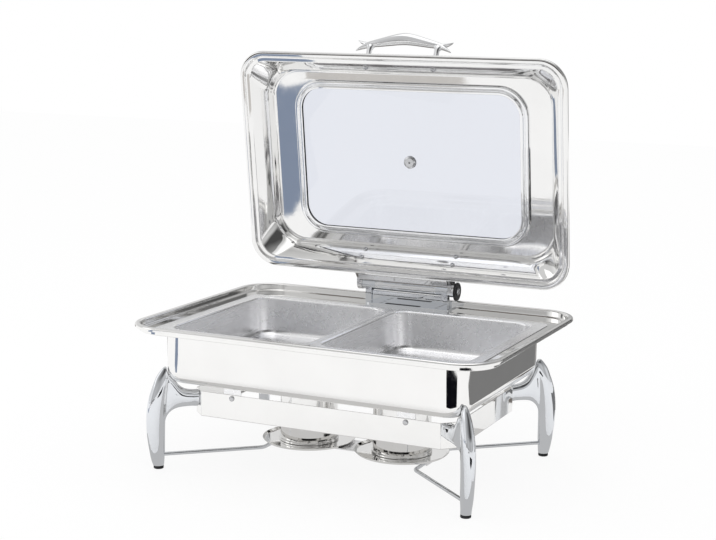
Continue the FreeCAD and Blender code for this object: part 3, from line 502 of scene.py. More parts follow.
class Sheet:
    """Node tree of one material, read on the piece's own Object coordinates."""

    def __init__(self, name: str) -> None:
        """Start a material with a plain shader.

        Args:
            name: Name of the material.
        """
        self.material = bpy.data.materials.new(name)
        self.material.use_nodes = True
        self.nodes = self.material.node_tree.nodes
        self.links = self.material.node_tree.links
        self.shader = self.nodes["Principled BSDF"]
        self.place = self.nodes.new("ShaderNodeTexCoord")

    def join(self, output: bpy.types.NodeSocket, name: str) -> None:
        """Feed an output to one of the shader's sockets."""
        self.links.new(output, self.shader.inputs[name])

    def noise(
        self, scale: float, detail: float, rough: float, stretch: tuple[float, float, float] = (1.0, 1.0, 1.0)
    ) -> bpy.types.NodeSocket:
        """Noise pattern, stretched along the piece's axes.

        Args:
            scale: Patches in a metre.
            detail: Finer layers.
            rough: Strength of the finer layers.
            stretch: Scale along each axis.

        Returns:
            The pattern's value.
        """
        mapping = self.nodes.new("ShaderNodeMapping")
        mapping.inputs["Scale"].default_value = stretch
        self.links.new(self.place.outputs["Object"], mapping.inputs["Vector"])
        pattern = self.nodes.new("ShaderNodeTexNoise")
        pattern.inputs["Scale"].default_value = scale
        pattern.inputs["Detail"].default_value = detail
        pattern.inputs["Roughness"].default_value = rough
        self.links.new(mapping.outputs["Vector"], pattern.inputs["Vector"])
        return pattern.outputs["Fac"]

    def ramp(
        self, value: bpy.types.NodeSocket, low: tuple[float, float, float], high: tuple[float, float, float]
    ) -> bpy.types.NodeSocket:
        """Colour that runs from low to high with a pattern.

        Args:
            value: The pattern.
            low: Colour at its low end.
            high: Colour at its high end.

        Returns:
            The colour.
        """
        ramp = self.nodes.new("ShaderNodeValToRGB")
        ramp.color_ramp.elements[0].position = PATTERN_LOW
        ramp.color_ramp.elements[1].position = PATTERN_HIGH
        ramp.color_ramp.elements[0].color = (*low, 1.0)
        ramp.color_ramp.elements[1].color = (*high, 1.0)
        self.links.new(value, ramp.inputs["Fac"])
        return ramp.outputs["Color"]

    def span(self, value: bpy.types.NodeSocket, low: float, high: float) -> bpy.types.NodeSocket:
        """Number that runs from low to high with a pattern.

        Args:
            value: The pattern.
            low: Number at its low end.
            high: Number at its high end.

        Returns:
            The number.
        """
        span = self.nodes.new("ShaderNodeMapRange")
        span.inputs["From Min"].default_value = PATTERN_LOW
        span.inputs["From Max"].default_value = PATTERN_HIGH
        span.inputs["To Min"].default_value = low
        span.inputs["To Max"].default_value = high
        self.links.new(value, span.inputs["Value"])
        return span.outputs["Result"]

    def bumps(self, heights: list[tuple[bpy.types.NodeSocket, float]]) -> None:
        """Stack bumps, each with its height in metres.

        Args:
            heights: Pattern and height of each bump.
        """
        last = None
        for value, height in heights:
            bump = self.nodes.new("ShaderNodeBump")
            bump.inputs["Distance"].default_value = height
            bump.inputs["Strength"].default_value = 1.0
            self.links.new(value, bump.inputs["Height"])
            if last is not None:
                self.links.new(last, bump.inputs["Normal"])
            last = bump.outputs["Normal"]
        if last is not None:
            self.join(last, "Normal")


class Finishes:
    """All finishes of the dish."""

    def __init__(self) -> None:
        """Build every material once."""
        self.polished = Metal(
            "polished_steel_sheet", (0.93, 0.925, 0.915), roughness=0.05, ripple=0.00012, ripple_size=7.0
        ).make()
        self.lid_steel = Metal(
            "polished_lid_sheet", (0.90, 0.897, 0.89), roughness=0.045, ripple=0.00016, ripple_size=7.0
        ).make()
        self.satin = Metal(
            "satin_pan_steel",
            (0.96, 0.96, 0.97),
            roughness=0.27,
            grain=0.000005,
            grain_stretch=(1.0, 0.05, 1.0),
            smudge=0.03,
        ).make()
        self.chrome = Metal(
            "cast_chrome", (0.79, 0.81, 0.84), roughness=0.045, ripple=0.00008, ripple_size=16.0, smudge=0.015
        ).make()
        self.bright_chrome = Metal(
            "bright_chrome", (0.90, 0.905, 0.915), roughness=0.04, ripple=0.00005, ripple_size=16.0, smudge=0.015
        ).make()
        self.bright = Metal("bright_steel", (0.56, 0.565, 0.58), roughness=0.16, smudge=0.05).make()
        self.glass = Pane("tinted_window_glass", tint=(0.79, 0.81, 0.87)).make()
        self.rubber = Moulded("black_rubber_moulding", (0.012, 0.012, 0.014), roughness=0.55).make()
        self.plastic = Moulded(
            "black_cap_plastic", (0.010, 0.010, 0.011), roughness=0.22, grain=0.000008
        ).make()


@dataclass
class Maker:
    """What every sub-assembly needs: the finishes, and a way to hand a finished piece over."""

    finishes: Finishes

    def dress(
        self,
        obj: bpy.types.Object,
        material: bpy.types.Material,
        body: Body,
        slot: Slot,
        nodes: tuple[str, ...] = (),
    ) -> bpy.types.Object:
        """Give a piece its finish and body, and hide the nodes that it stands for.

        Args:
            obj: The finished piece.
            material: Its finish.
            body: The body it rides on.
            slot: Its material slot in the record; not used.
            nodes: Nodes that it replaces.

        Returns:
            The same piece.
        """
        obj.data.materials.clear()
        obj.data.materials.append(material)
        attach(obj, body.value)
        if nodes:
            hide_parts(*nodes)
        LOG.info("%s rides on %s", obj.name, body.value)
        return obj

    def fasten(
        self,
        name: str,
        pattern: bpy.types.Object,
        places: list[tuple[Vector, Vector]],
        body: Body,
        nodes: tuple[str, ...],
    ) -> None:
        """Put one fastener in each place and hand the set over.

        Args:
            name: Name of the set.
            pattern: The fastener, drawn along +Z.
            places: Seat of each head and the direction it faces.
            body: The body that the set rides on.
            nodes: Nodes that it replaces.
        """
        pattern.modifiers.clear()
        obj = fastener_tree().run(seats(name, places), Fastener=pattern, Finish=self.finishes.bright)
        bpy.data.objects.remove(pattern)
        self.dress(obj, self.finishes.bright, body, Slot.BRIGHT, nodes)


# Geometry Nodes trees

class Tree:
    """Geometry Nodes tree with named inputs."""

    def __init__(self, name: str) -> None:
        """Start a tree with a geometry input and output.

        Args:
            name: Name of the tree.
        """
        self.tree = bpy.data.node_groups.new(name, "GeometryNodeTree")
        self.tree.interface.new_socket("Geometry", in_out="INPUT", socket_type="NodeSocketGeometry")
        self.tree.interface.new_socket("Geometry", in_out="OUTPUT", socket_type="NodeSocketGeometry")
        self.named: dict[str, str] = {}
        self.source = self.tree.nodes.new("NodeGroupInput")
        self.result = self.tree.nodes.new("NodeGroupOutput")

    def number(self, name: str, kind: str = "NodeSocketFloat") -> bpy.types.NodeSocket:
        """Add a named input, with its socket inside the tree.

        Args:
            name: Name of the input.
            kind: Type of its socket.

        Returns:
            The socket.
        """
        socket = self.tree.interface.new_socket(name, in_out="INPUT", socket_type=kind)
        self.named[name] = socket.identifier
        return next(s for s in self.source.outputs if s.identifier == socket.identifier)

    def node(self, kind: str, **inputs: object) -> bpy.types.Node:
        """Add a node, linking sockets and setting plain values.

        Args:
            kind: Type name of the node.
            **inputs: Socket or value for each input, with underscores for blanks.

        Returns:
            The node.
        """
        node = self.tree.nodes.new(kind)
        for name, value in inputs.items():
            socket = node.inputs[name.replace("_", " ")]
            if isinstance(value, bpy.types.NodeSocket):
                self.tree.links.new(value, socket)
            else:
                socket.default_value = value
        return node

    def close(self, mesh: bpy.types.NodeSocket, material: bpy.types.NodeSocket) -> None:
        """End the tree with real meshes and their material.

        Args:
            mesh: What the tree made.
            material: Its finish.
        """
        real = self.node("GeometryNodeRealizeInstances", Geometry=mesh)
        coat = self.node("GeometryNodeSetMaterial", Geometry=real.outputs[0], Material=material)
        self.tree.links.new(coat.outputs[0], self.result.inputs[0])

    def run(self, obj: bpy.types.Object, **values: object) -> bpy.types.Object:
        """Put the tree on an object with these inputs, and keep its result as a plain mesh.

        Args:
            obj: Object whose geometry goes in.
            **values: Value of each named input, with underscores for blanks.

        Returns:
            The object, with the result as its mesh.
        """
        modifier = obj.modifiers.new(self.tree.name, "NODES")
        modifier.node_group = self.tree
        for name, value in values.items():
            modifier[self.named[name.replace("_", " ")]] = value
        obj.update_tag()
        bpy.context.view_layer.update()
        view = bpy.context.evaluated_depsgraph_get()
        mesh = bpy.data.meshes.new_from_object(obj.evaluated_get(view), depsgraph=view)
        name = obj.name
        bpy.data.objects.remove(obj)
        return shaded(name, mesh, sharp=40.0)


def round_bar_tree() -> Tree:
    """Tree that turns a line of edges into a round bar with rounded bends.

    Returns:
        The tree.
    """
    tree = Tree("round_bar")
    radius = tree.number("Radius")
    bend = tree.number("Bend")
    coat = tree.number("Finish", "NodeSocketMaterial")
    line = tree.node("GeometryNodeMeshToCurve", Mesh=tree.source.outputs[0])
    bent = tree.node("GeometryNodeFilletCurve", Curve=line.outputs[0], Radius=bend)
    bent.mode = "POLY"
    bent.inputs["Count"].default_value = 14
    section = tree.node("GeometryNodeCurvePrimitiveCircle", Resolution=24, Radius=radius)
    bar = tree.node("GeometryNodeCurveToMesh", Curve=bent.outputs[0], Profile_Curve=section.outputs[0])
    bar.inputs["Fill Caps"].default_value = True
    tree.close(bar.outputs[0], coat)
    return tree


def fastener_tree() -> Tree:
    """Tree that stands one fastener on each point, along the point's own direction.

    Returns:
        The tree.
    """
    tree = Tree("fasteners")
    pattern = tree.number("Fastener", "NodeSocketObject")
    coat = tree.number("Finish", "NodeSocketMaterial")
    shape = tree.node("GeometryNodeObjectInfo", Object=pattern)
    facing = tree.node("GeometryNodeInputNamedAttribute")
    facing.data_type = "FLOAT_VECTOR"
    facing.inputs["Name"].default_value = "facing"
    turn = tree.node("FunctionNodeAlignRotationToVector", Vector=facing.outputs["Attribute"])
    turn.axis = "Z"
    copies = tree.node("GeometryNodeInstanceOnPoints", Points=tree.source.outputs[0])
    tree.tree.links.new(shape.outputs["Geometry"], copies.inputs["Instance"])
    tree.tree.links.new(turn.outputs[0], copies.inputs["Rotation"])
    tree.close(copies.outputs[0], coat)
    return tree


def wire_line(name: str, points: list[Vector], closed: bool = False) -> bpy.types.Object:
    """Object with a line of edges through points in millimetres.

    Args:
        name: Name of the object.
        points: The points, in order.
        closed: True to join the last point to the first.

    Returns:
        The object, linked to the scene.
    """
    mesh = bpy.data.meshes.new(name)
    edges = [(i, i + 1) for i in range(len(points) - 1)]
    if closed:
        edges.append((len(points) - 1, 0))
    mesh.from_pydata([p * MM for p in points], edges, [])
    obj = bpy.data.objects.new(name, mesh)
    bpy.context.scene.collection.objects.link(obj)
    return obj


def seats(name: str, places: list[tuple[Vector, Vector]]) -> bpy.types.Object:
    """Loose points, each with the direction its fastener faces.

    Args:
        name: Name of the object.
        places: Point in millimetres and direction, for each fastener.

    Returns:
        The object that the fastener tree runs on.
    """
    mesh = bpy.data.meshes.new(name)
    mesh.from_pydata([point * MM for point, _ in places], [], [])
    facing = mesh.attributes.new("facing", "FLOAT_VECTOR", "POINT")
    for i, (_, way) in enumerate(places):
        facing.data[i].vector = way.normalized()
    obj = bpy.data.objects.new(name, mesh)
    bpy.context.scene.collection.objects.link(obj)
    return obj


# Outlines and sheet metal

@dataclass(frozen=True)
class CutRect:
    """Rectangle with its corners cut off at a slant, in millimetres."""

    half_x: float
    half_y: float
    cut: float
    bend_radius: float
    middle_y: float

    def shrunk(self, inset: float) -> "CutRect":
        """The same outline drawn in by inset.

        Args:
            inset: Distance that each side moves in.

        Returns:
            The smaller outline.
        """
        cut = self.cut - inset * (2.0 - math.sqrt(2.0))
        radius = max(self.bend_radius - inset, 0.4)
        return CutRect(self.half_x - inset, self.half_y - inset, cut, radius, self.middle_y)

    def ring(self, z: float) -> list[Vector]:
        """Points of the outline at height z, anticlockwise from above.

        Args:
            z: Height of the ring.

        Returns:
            The points.
        """
        x, y, c = self.half_x, self.half_y, self.cut
        quarter = [(x - c, -y), (x, -y + c), (x, y - c), (x - c, y)]
        flat = [Vector(corner) for corner in quarter] + [-Vector(corner) for corner in quarter]
        points: list[Vector] = []
        for i, here in enumerate(flat):
            arc = bend(flat[i - 1], here, flat[(i + 1) % 8], self.bend_radius, 4)
            points.extend(Vector((p.x, p.y + self.middle_y, z)) for p in arc)
        return points


def outline_of(node: str, corner: float, grow: float = 0.0) -> RoundRect:
    """Rounded rectangle round a node's box, seen from above.

    Args:
        node: The node.
        corner: Its corner radius in millimetres.
        grow: Distance that the outline is let out.

    Returns:
        The outline.
    """
    low, high = node_box(node)
    middle = (low + high) / 2.0
    half = (high - low) / 2.0
    return RoundRect(half.x + grow, half.y + grow, corner + grow, middle.x, middle.y)


def curve_through(points: list[tuple[float, ...]], steps: int) -> list[tuple[float, ...]]:
    """Smooth curve through points of any number of coordinates.

    Args:
        points: The points, at least three.
        steps: Segments between two neighbours.

    Returns:
        The curve's points, ends included.
    """
    curve: list[tuple[float, ...]] = []
    last = len(points) - 1
    for i in range(last):
        p0, p1, p2, p3 = points[max(i - 1, 0)], points[i], points[i + 1], points[min(i + 2, last)]
        for k in range(steps):
            t = k / steps
            curve.append(tuple(
                0.5 * (2 * b + (c - a) * t + (2 * a - 5 * b + 4 * c - d) * t * t + (3 * b - a - 3 * c + d) * t**3)
                for a, b, c, d in zip(p0, p1, p2, p3)
            ))
    curve.append(tuple(points[last]))
    return curve


# Fasteners

@dataclass(frozen=True)
class Screw:
    """Screw with a rounded head, a socket in it, and a nut at the far end, along +Z."""

    shank: float
    head: float
    head_height: float
    grip: float
    nut: float = 0.0
    nut_height: float = 3.0
    socket: float = 0.0
    dome: float = 0.6

    def make(self, name: str) -> bpy.types.Object:
        """Build the pattern with the head's seat at the origin and the head above it.

        Args:
            name: Name of the pattern.

        Returns:
            The pattern.
        """
        skin = Skin()
        radius = self.head / 2.0
        top = self.head_height
        rise = top * self.dome
        profile = [(0.0, -self.grip), (self.shank / 2.0, -self.grip), (self.shank / 2.0, 0.0), (radius - 0.15, 0.0)]
        profile += [(radius, 0.15), (radius, top - rise)]
        for k in range(1, 6):
            a = math.radians(90.0 * k / 6)
            profile.append((radius * (0.35 + 0.65 * math.cos(a)), top - rise + rise * math.sin(a)))
        if self.socket > 0.0:
            profile += [(self.socket / 2.0, top), (self.socket / 2.0 * 0.9, top - 1.1), (0.0, top - 1.3)]
        else:
            profile.append((0.0, top))
        skin.turned(profile, Vector((0, 0, 0)), Z_AXIS, steps=24)
        if self.nut > 0.0:
            self.add_nut(skin)
        return skin.build(name, sharp=32.0)

    def add_nut(self, skin: Skin) -> None:
        """Add the six-sided nut.

        Args:
            skin: Mesh that the nut is added to.
        """
        rings = []
        for grow, z in ((-0.35, 0.0), (0.0, 0.3), (0.0, self.nut_height - 0.3), (-0.35, self.nut_height)):
            ring = []
            for k in range(6):
                a = math.radians(60.0 * k)
                reach = self.nut / 2.0 + grow
                ring.append(Vector((math.cos(a) * reach, math.sin(a) * reach, z - self.grip)))
            rings.append(ring)
        skin.loft(rings)


# Stand

@dataclass
class Stand(Maker):
    """Apron, legs, feet, rods, bar, trays and what fastens them."""

    sheet: float = 1.5
    hem: float = 8.0
    cut: float = 20.0
    fold: float = 2.4
    rod: float = 6.0
    rod_bend: float = 14.0
    rod_inside_leg: float = 4.0
    straight: float = 124.0
    tray_rim: float = 4.5
    tray_sheet: float = 1.2
    rest_head: float = 8.5
    bolt_head: float = 10.0
    rivet_head: float = 9.0

    def build(self) -> None:
        """Build the stand."""
        self.apron()
        self.legs()
        self.rods()
        self.burner_bar()
        self.trays()
        self.rests()
        self.bolts()
        self.rivets()

    def apron(self) -> None:
        """Bent sheet apron, open above and below, with a stiffening hem at the bottom."""
        low, high = node_box("stand_frame")
        outline = CutRect(high.x, (high.y - low.y) / 2.0, self.cut, self.fold, STAND_Y)
        t = self.sheet
        profile = rounded_path([
            (0.0, low.z, 1.4),
            (0.0, high.z, 0.5),
            (t, high.z, 0.5),
            (t, low.z + t, 0.6),
            (self.hem, low.z + t, 0.5),
            (self.hem, low.z, 0.5),
        ], closed=True, steps=3)
        skin = Skin()
        skin.loft([outline.shrunk(p.x).ring(p.y) for p in profile], closed=True)
        obj = skin.build("apron_sheet", sharp=50.0)
        self.dress(obj, self.finishes.polished, Body.STAND, Slot.POLISHED, ("stand_frame",))

    def legs(self) -> None:
        """Four cast legs with their black tips."""
        for side in ("front", "back"):
            for end in Side:
                name = f"{side}_{end.word}"
                leg = cast(f"leg_{name}", f"horn_leg_{name}", grain=0.9, passes=22)
                self.dress(leg, self.finishes.chrome, Body.STAND, Slot.CHROME, (f"leg_{name}",))
                tip = from_frame(f"foot_{name}", f"leg_tip_{name}", sharp=40.0)
                self.dress(tip, self.finishes.rubber, Body.STAND, Slot.RUBBER, (f"foot_{name}",))

    def rods(self) -> None:
        """Bent rods from front leg to back leg."""
        tree = round_bar_tree()
        for end in Side:
            low, high = node_box(f"side_rod_{end.word}")
            z = (low.z + high.z) / 2.0
            inner = high.x if end is Side.LEFT else low.x
            knee_x = inner + end.value * self.rod / 2.0
            knee_y = self.straight / 2.0
            foot_low, foot_high = node_box(f"foot_back_{end.word}")
            foot = (foot_low + foot_high) / 2.0
            tip = Vector((foot.x, foot.y, z))
            knee = Vector((knee_x, STAND_Y + knee_y, z))
            start = tip + (knee - tip).normalized() * self.rod_inside_leg
            route = [start, knee]
            route += [Vector((p.x, 2.0 * STAND_Y - p.y, p.z)) for p in (knee, start)]
            obj = tree.run(
                wire_line(f"stretcher_rod_{end.word}", route),
                Radius=self.rod / 2.0 * MM,
                Bend=self.rod_bend * MM,
                Finish=self.finishes.chrome,
            )
            self.dress(obj, self.finishes.chrome, Body.STAND, Slot.CHROME, (f"side_rod_{end.word}",))

    def burner_bar(self) -> None:
        """Strip across the rods, hooked over them."""
        obj = from_frame("burner_bar", "burner_strip", sharp=30.0, ease=0.5)
        self.dress(obj, self.finishes.satin, Body.STAND, Slot.SATIN, ("burner_bar",))

    def trays(self) -> None:
        """Shallow drip trays with a flared rim."""
        for end in Side:
            low, high = node_box(f"drip_tray_{end.word}")
            middle = (low + high) / 2.0
            radius = (high.x - low.x) / 2.0
            top = high.z - low.z
            t = self.tray_sheet
            path = rounded_path([
                (0.0, 0.0),
                (radius - self.tray_rim, 0.0, 3.0),
                (radius, top - 0.1, 0.5),
                (radius - t, top, 0.4),
                (radius - self.tray_rim - 0.6, t, 2.0),
                (0.0, t),
            ], steps=4)
            skin = Skin()
            skin.turned([(p.x, p.y) for p in path], Vector((middle.x, middle.y, low.z)), Z_AXIS, steps=112)
            obj = skin.build(f"drip_tray_pressing_{end.word}", sharp=50.0)
            self.dress(obj, self.finishes.polished, Body.STAND, Slot.SATIN, (f"drip_tray_{end.word}",))

    def rests(self) -> None:
        """Angle brackets inside the apron and their round-headed screws."""
        obj = from_frame("pan_rests", "pan_rest_angles", sharp=30.0, ease=0.4)
        self.dress(obj, self.finishes.satin, Body.STAND, Slot.SATIN, ("pan_rests",))
        low, high = node_box("rest_screws")
        frame_low, frame_high = node_box("stand_frame")
        x = high.x - self.rest_head / 2.0
        z = (low.z + high.z) / 2.0
        places = []
        for sx in (-1, 1):
            places.append((Vector((sx * x, frame_low.y, z)), Vector((0, -1, 0))))
            places.append((Vector((sx * x, frame_high.y, z)), Vector((0, 1, 0))))
        pattern = Screw(
            shank=4.0, head=self.rest_head, head_height=high.y - frame_high.y, grip=6.5, nut=8.0
        ).make("rest_screw_pattern")
        self.fasten("rest_screw_set", pattern, places, Body.STAND, ("rest_screws",))

    def bolts(self) -> None:
        """Bolts from inside the apron into the legs."""
        low, high = node_box("leg_bolts")
        middle_z = (low.z + high.z) / 2.0
        frame_low, frame_high = node_box("stand_frame")
        half_x = frame_high.x - self.cut / 2.0
        half_y = (frame_high.y - frame_low.y) / 2.0 - self.cut / 2.0
        places = []
        for sx in (-1, 1):
            for sy in (-1, 1):
                out = Vector((sx, sy, 0)).normalized()
                seat = Vector((sx * half_x, STAND_Y + sy * half_y, middle_z)) - out * self.sheet
                places.append((seat, -out))
        pattern = Screw(
            shank=6.0, head=self.bolt_head, head_height=4.0, grip=12.0, socket=5.0, dome=0.25
        ).make("leg_bolt_pattern")
        self.fasten("leg_bolt_set", pattern, places, Body.STAND, ("leg_bolts",))

    def rivets(self) -> None:
        """Rivets through the strip and the trays."""
        low, high = node_box("burner_rivets")
        x = high.x - self.rivet_head / 2.0
        places = [(Vector((sx * x, STAND_Y, low.z + 1.0)), -Z_AXIS) for sx in (-1, 1)]
        pattern = Screw(shank=4.0, head=self.rivet_head, head_height=1.0, grip=3.2).make("rivet_pattern")
        self.fasten("burner_rivet_set", pattern, places, Body.STAND, ("burner_rivets",))


# Fuel cups

@dataclass
class FuelCup(Maker):
    """Open cup for a can of fuel, with a stepped foot and a rolled mouth."""

    side: Side = Side.LEFT
    wall: float = 1.2
    foot_height: float = 3.5
    body_diameter: float = 91.0

    def build(self) -> None:
        """Build the cup."""
        node = f"fuel_cup_{self.side.word}"
        low, high = node_box(node)
        middle = (low + high) / 2.0
        foot = (high.x - low.x) / 2.0
        r = self.body_diameter / 2.0
        top = high.z - low.z
        t = self.wall
        path = rounded_path([
            (0.0, 0.0),
            (foot, 0.0, 1.0),
            (foot, self.foot_height, 1.2),
            (r, self.foot_height + 0.4, 1.2),
            (r, top - 3.4, 1.0),
            (r + 1.1, top - 2.6, 0.8),
            (r + 1.1, top, 1.3),
            (r - t - 0.3, top, 1.0),
            (r - t, top - 3.4, 0.8),
            (r - t, t, 3.0),
            (0.0, t),
        ], steps=4)
        skin = Skin()
        skin.turned([(p.x, p.y) for p in path], Vector((middle.x, middle.y, low.z)), Z_AXIS, steps=112)
        obj = skin.build(f"fuel_cup_shell_{self.side.word}", sharp=50.0)
        body = Body.CUP_LEFT if self.side is Side.LEFT else Body.CUP_RIGHT
        self.dress(obj, self.finishes.polished, body, Slot.SATIN, (node,))


# Water bath and its rim

@dataclass
class Bath(Maker):
    """Water pan, drawn rim, and the fixed half of the hinge."""

    sheet: float = 1.5
    pan_corner: float = 38.0
    pan_floor_radius: float = 20.0
    pan_flange: float = 10.0
    rim_corner: float = 60.0
    lip: float = 9.0
    lip_round: float = 3.0
    lip_drop: float = 6.0
    gutter_round: float = 2.5
    seat_length: float = 499.0
    seat_depth: float = 303.0
    seat_corner: float = 24.0
    ledge: float = 219.5
    base_screw_head: float = 7.6

    def build(self) -> None:
        """Build the bath."""
        self.water_pan()
        self.rim()
        self.hinge()

    def water_pan(self) -> None:
        """Deep drawn pan for the hot water."""
        low, high = node_box("water_pan")
        wall = outline_of("water_pan", self.pan_corner + self.pan_flange).shrunk(self.pan_flange)
        t = self.sheet
        floor = self.pan_floor_radius
        out_path = rounded_path([
            (60.0, low.z),
            (0.0, low.z, floor),
            (0.0, high.z - t, 1.5),
            (-self.pan_flange, high.z - t, 0.3),
            (-self.pan_flange, high.z, 0.3),
            (t, high.z, 3.0),
            (t, low.z + t, floor - t),
            (60.0, low.z + t),
        ], steps=10)
        skin = Skin()
        skin.loft([wall.shrunk(p.x, max(self.pan_corner - p.x, 8.0)).ring(p.y) for p in out_path])
        obj = skin.build("water_pan_pressing", sharp=60.0)
        self.dress(obj, self.finishes.polished, Body.BATH, Slot.POLISHED, ("water_pan",))

    def rim(self) -> None:
        """Drawn rim with a raised rolled lip, the gutter inside it and the seat for the pans."""
        _, high = node_box("rim_frame")
        outer = outline_of("rim_frame", self.rim_corner)
        food_low, food_high = node_box("food_pan_left")
        middle_y = (food_low.y + food_high.y) / 2.0
        seat = RoundRect(self.seat_length / 2.0, self.seat_depth / 2.0, self.seat_corner, 0.0, middle_y)
        t = self.sheet
        top = high.z
        hem = top - self.lip_drop
        upper = rounded_path([
            (t, hem),
            (0.0, hem, 0.4),
            (0.0, top, self.lip_round),
            (self.lip, top, self.lip_round),
            (self.lip, self.ledge, self.gutter_round),
            (self.lip + 6.0, self.ledge),
        ], steps=6)
        lower = rounded_path([
            (self.lip + 6.0, self.ledge - t),
            (self.lip - t, self.ledge - t, 1.5),
            (self.lip - t, top - t, 1.5),
            (t, top - t, 1.5),
            (t, hem),
        ], steps=4)
        rings = [outer.shrunk(p.x).ring(p.y) for p in upper]
        for inset, drop in ((-1.2, 0.0), (-0.5, 0.05), (0.0, 0.55), (0.0, t - 0.3), (-0.4, t)):
            rings.append(seat.shrunk(inset).ring(self.ledge - drop))
        rings += [outer.shrunk(p.x).ring(p.y) for p in lower]
        skin = Skin()
        skin.loft(rings, closed=True)
        obj = skin.build("rim_pressing", sharp=50.0)
        self.dress(obj, self.finishes.polished, Body.BATH, Slot.POLISHED, ("rim_frame",))

    def hinge(self) -> None:
        """Base plate with its knuckles, the oil tube, the buffer strip and the screws."""
        base = from_frame("hinge_base", "hinge_base_casting", sharp=30.0, ease=0.6)
        self.dress(base, self.finishes.chrome, Body.BATH, Slot.CHROME, ("hinge_base",))
        strip = from_frame("lid_buffer", "lid_buffer_strip", sharp=30.0, ease=0.8)
        self.dress(strip, self.finishes.rubber, Body.BATH, Slot.RUBBER, ("lid_buffer",))
        self.oil_tube()
        low, high = node_box("hinge_base_screws")
        head = self.base_screw_head
        places = []
        for x in (low.x + head / 2.0, high.x - head / 2.0):
            for y in (low.y + head / 2.0, high.y - head / 2.0):
                places.append((Vector((x, y, high.z - 0.1)), Z_AXIS))
        pattern = Screw(
            shank=4.0, head=head, head_height=0.35, grip=high.z - low.z - 0.1, nut=7.6, socket=2.4, dome=0.9
        ).make("base_screw_pattern")
        self.fasten("hinge_base_screw_set", pattern, places, Body.BATH, ("hinge_base_screws",))

    def oil_tube(self) -> None:
        """Polished tube of the damper with its end seams."""
        low, high = node_box("damper_tube")
        length = high.x - low.x
        r = (high.z - low.z) / 2.0
        path = rounded_path([
            (0.0, 0.0),
            (r, 0.0, 0.7),
            (r, 3.0, 0.3),
            (r - 0.35, 3.4, 0.2),
            (r - 0.35, 4.0, 0.2),
            (r, 4.4, 0.3),
            (r, length - 4.4, 0.3),
            (r - 0.35, length - 4.0, 0.2),
            (r - 0.35, length - 3.4, 0.2),
            (r, length - 3.0, 0.3),
            (r, length, 0.7),
            (0.0, length),
        ], steps=3)
        skin = Skin()
        skin.turned([(p.x, p.y) for p in path], Vector((low.x, PIN.y, PIN.z)), X_AXIS, steps=72)
        obj = skin.build("damper_tube_barrel", sharp=50.0)
        self.dress(obj, self.finishes.bright_chrome, Body.BATH, Slot.CHROME, ("damper_tube",))


# Food pans

@dataclass
class FoodPan(Maker):
    """Half-size pan with a flat flange, rounded mouth, tapered walls and rounded floor."""

    side: Side = Side.LEFT
    sheet: float = 1.0
    outer_flange: float = 19.0
    divider_flange: float = 7.4
    end_flange: float = 12.6
    flange_corner: float = 14.0
    corner: float = 28.0
    taper: float = 5.0
    floor_radius: float = 12.0
    mouth_radius: float = 3.6

    def build(self) -> None:
        """Build the pan."""
        node = f"food_pan_{self.side.word}"
        low, high = node_box(node)
        edge = outline_of(node, self.flange_corner)
        mouth = self.mouth(edge)
        t = self.sheet
        bend = self.mouth_radius + 1.2
        rings = [edge.shrunk(0.4).ring(high.z - t), edge.ring(high.z - t + 0.3), edge.ring(high.z - 0.3)]
        rings.append(edge.shrunk(0.4).ring(high.z))
        inner = rounded_path([
            (-bend, high.z),
            (t, high.z, self.mouth_radius),
            (self.taper + t, low.z + t, self.floor_radius - t),
            (self.taper + 40.0, low.z + t),
        ], steps=9)
        outer = rounded_path([
            (self.taper + 40.0, low.z),
            (self.taper, low.z, self.floor_radius),
            (0.0, high.z - t, self.mouth_radius - t),
            (-bend, high.z - t),
        ], steps=9)
        rings += [self.section(mouth, p).ring(p.y) for p in inner]
        rings += [self.section(mouth, p).ring(p.y) for p in outer]
        skin = Skin()
        numbers = [skin.ring(ring) for ring in rings]
        floor = 4 + len(inner)
        for i, (a, b) in enumerate(zip(numbers, numbers[1:])):
            if i != floor - 1:
                skin.bridge(a, b)
        skin.bridge(numbers[-1], numbers[0])
        skin.cap(numbers[floor - 1])
        skin.cap(numbers[floor])
        obj = skin.build(f"food_pan_pressing_{self.side.word}", sharp=60.0)
        body = Body.PAN_LEFT if self.side is Side.LEFT else Body.PAN_RIGHT
        self.dress(obj, self.finishes.satin, body, Slot.SATIN, (node,))

    def mouth(self, edge: RoundRect) -> RoundRect:
        """Outline of the mouth, nearer to the pan beside it than to the rim.

        Args:
            edge: Outline of the flange.

        Returns:
            The mouth's outline.
        """
        shift = (self.outer_flange - self.divider_flange) / 2.0
        half_x = edge.half_x - (self.outer_flange + self.divider_flange) / 2.0
        middle_x = edge.middle_x - self.side.value * shift
        return RoundRect(half_x, edge.half_y - self.end_flange, self.corner, middle_x, edge.middle_y)

    def section(self, mouth: RoundRect, point: Vector) -> RoundRect:
        """Outline of the wall at one point of its profile."""
        drawn_in = max(point.x - self.taper, 0.0)
        return mouth.shrunk(point.x, max(self.corner - drawn_in, 6.0))


# Lid

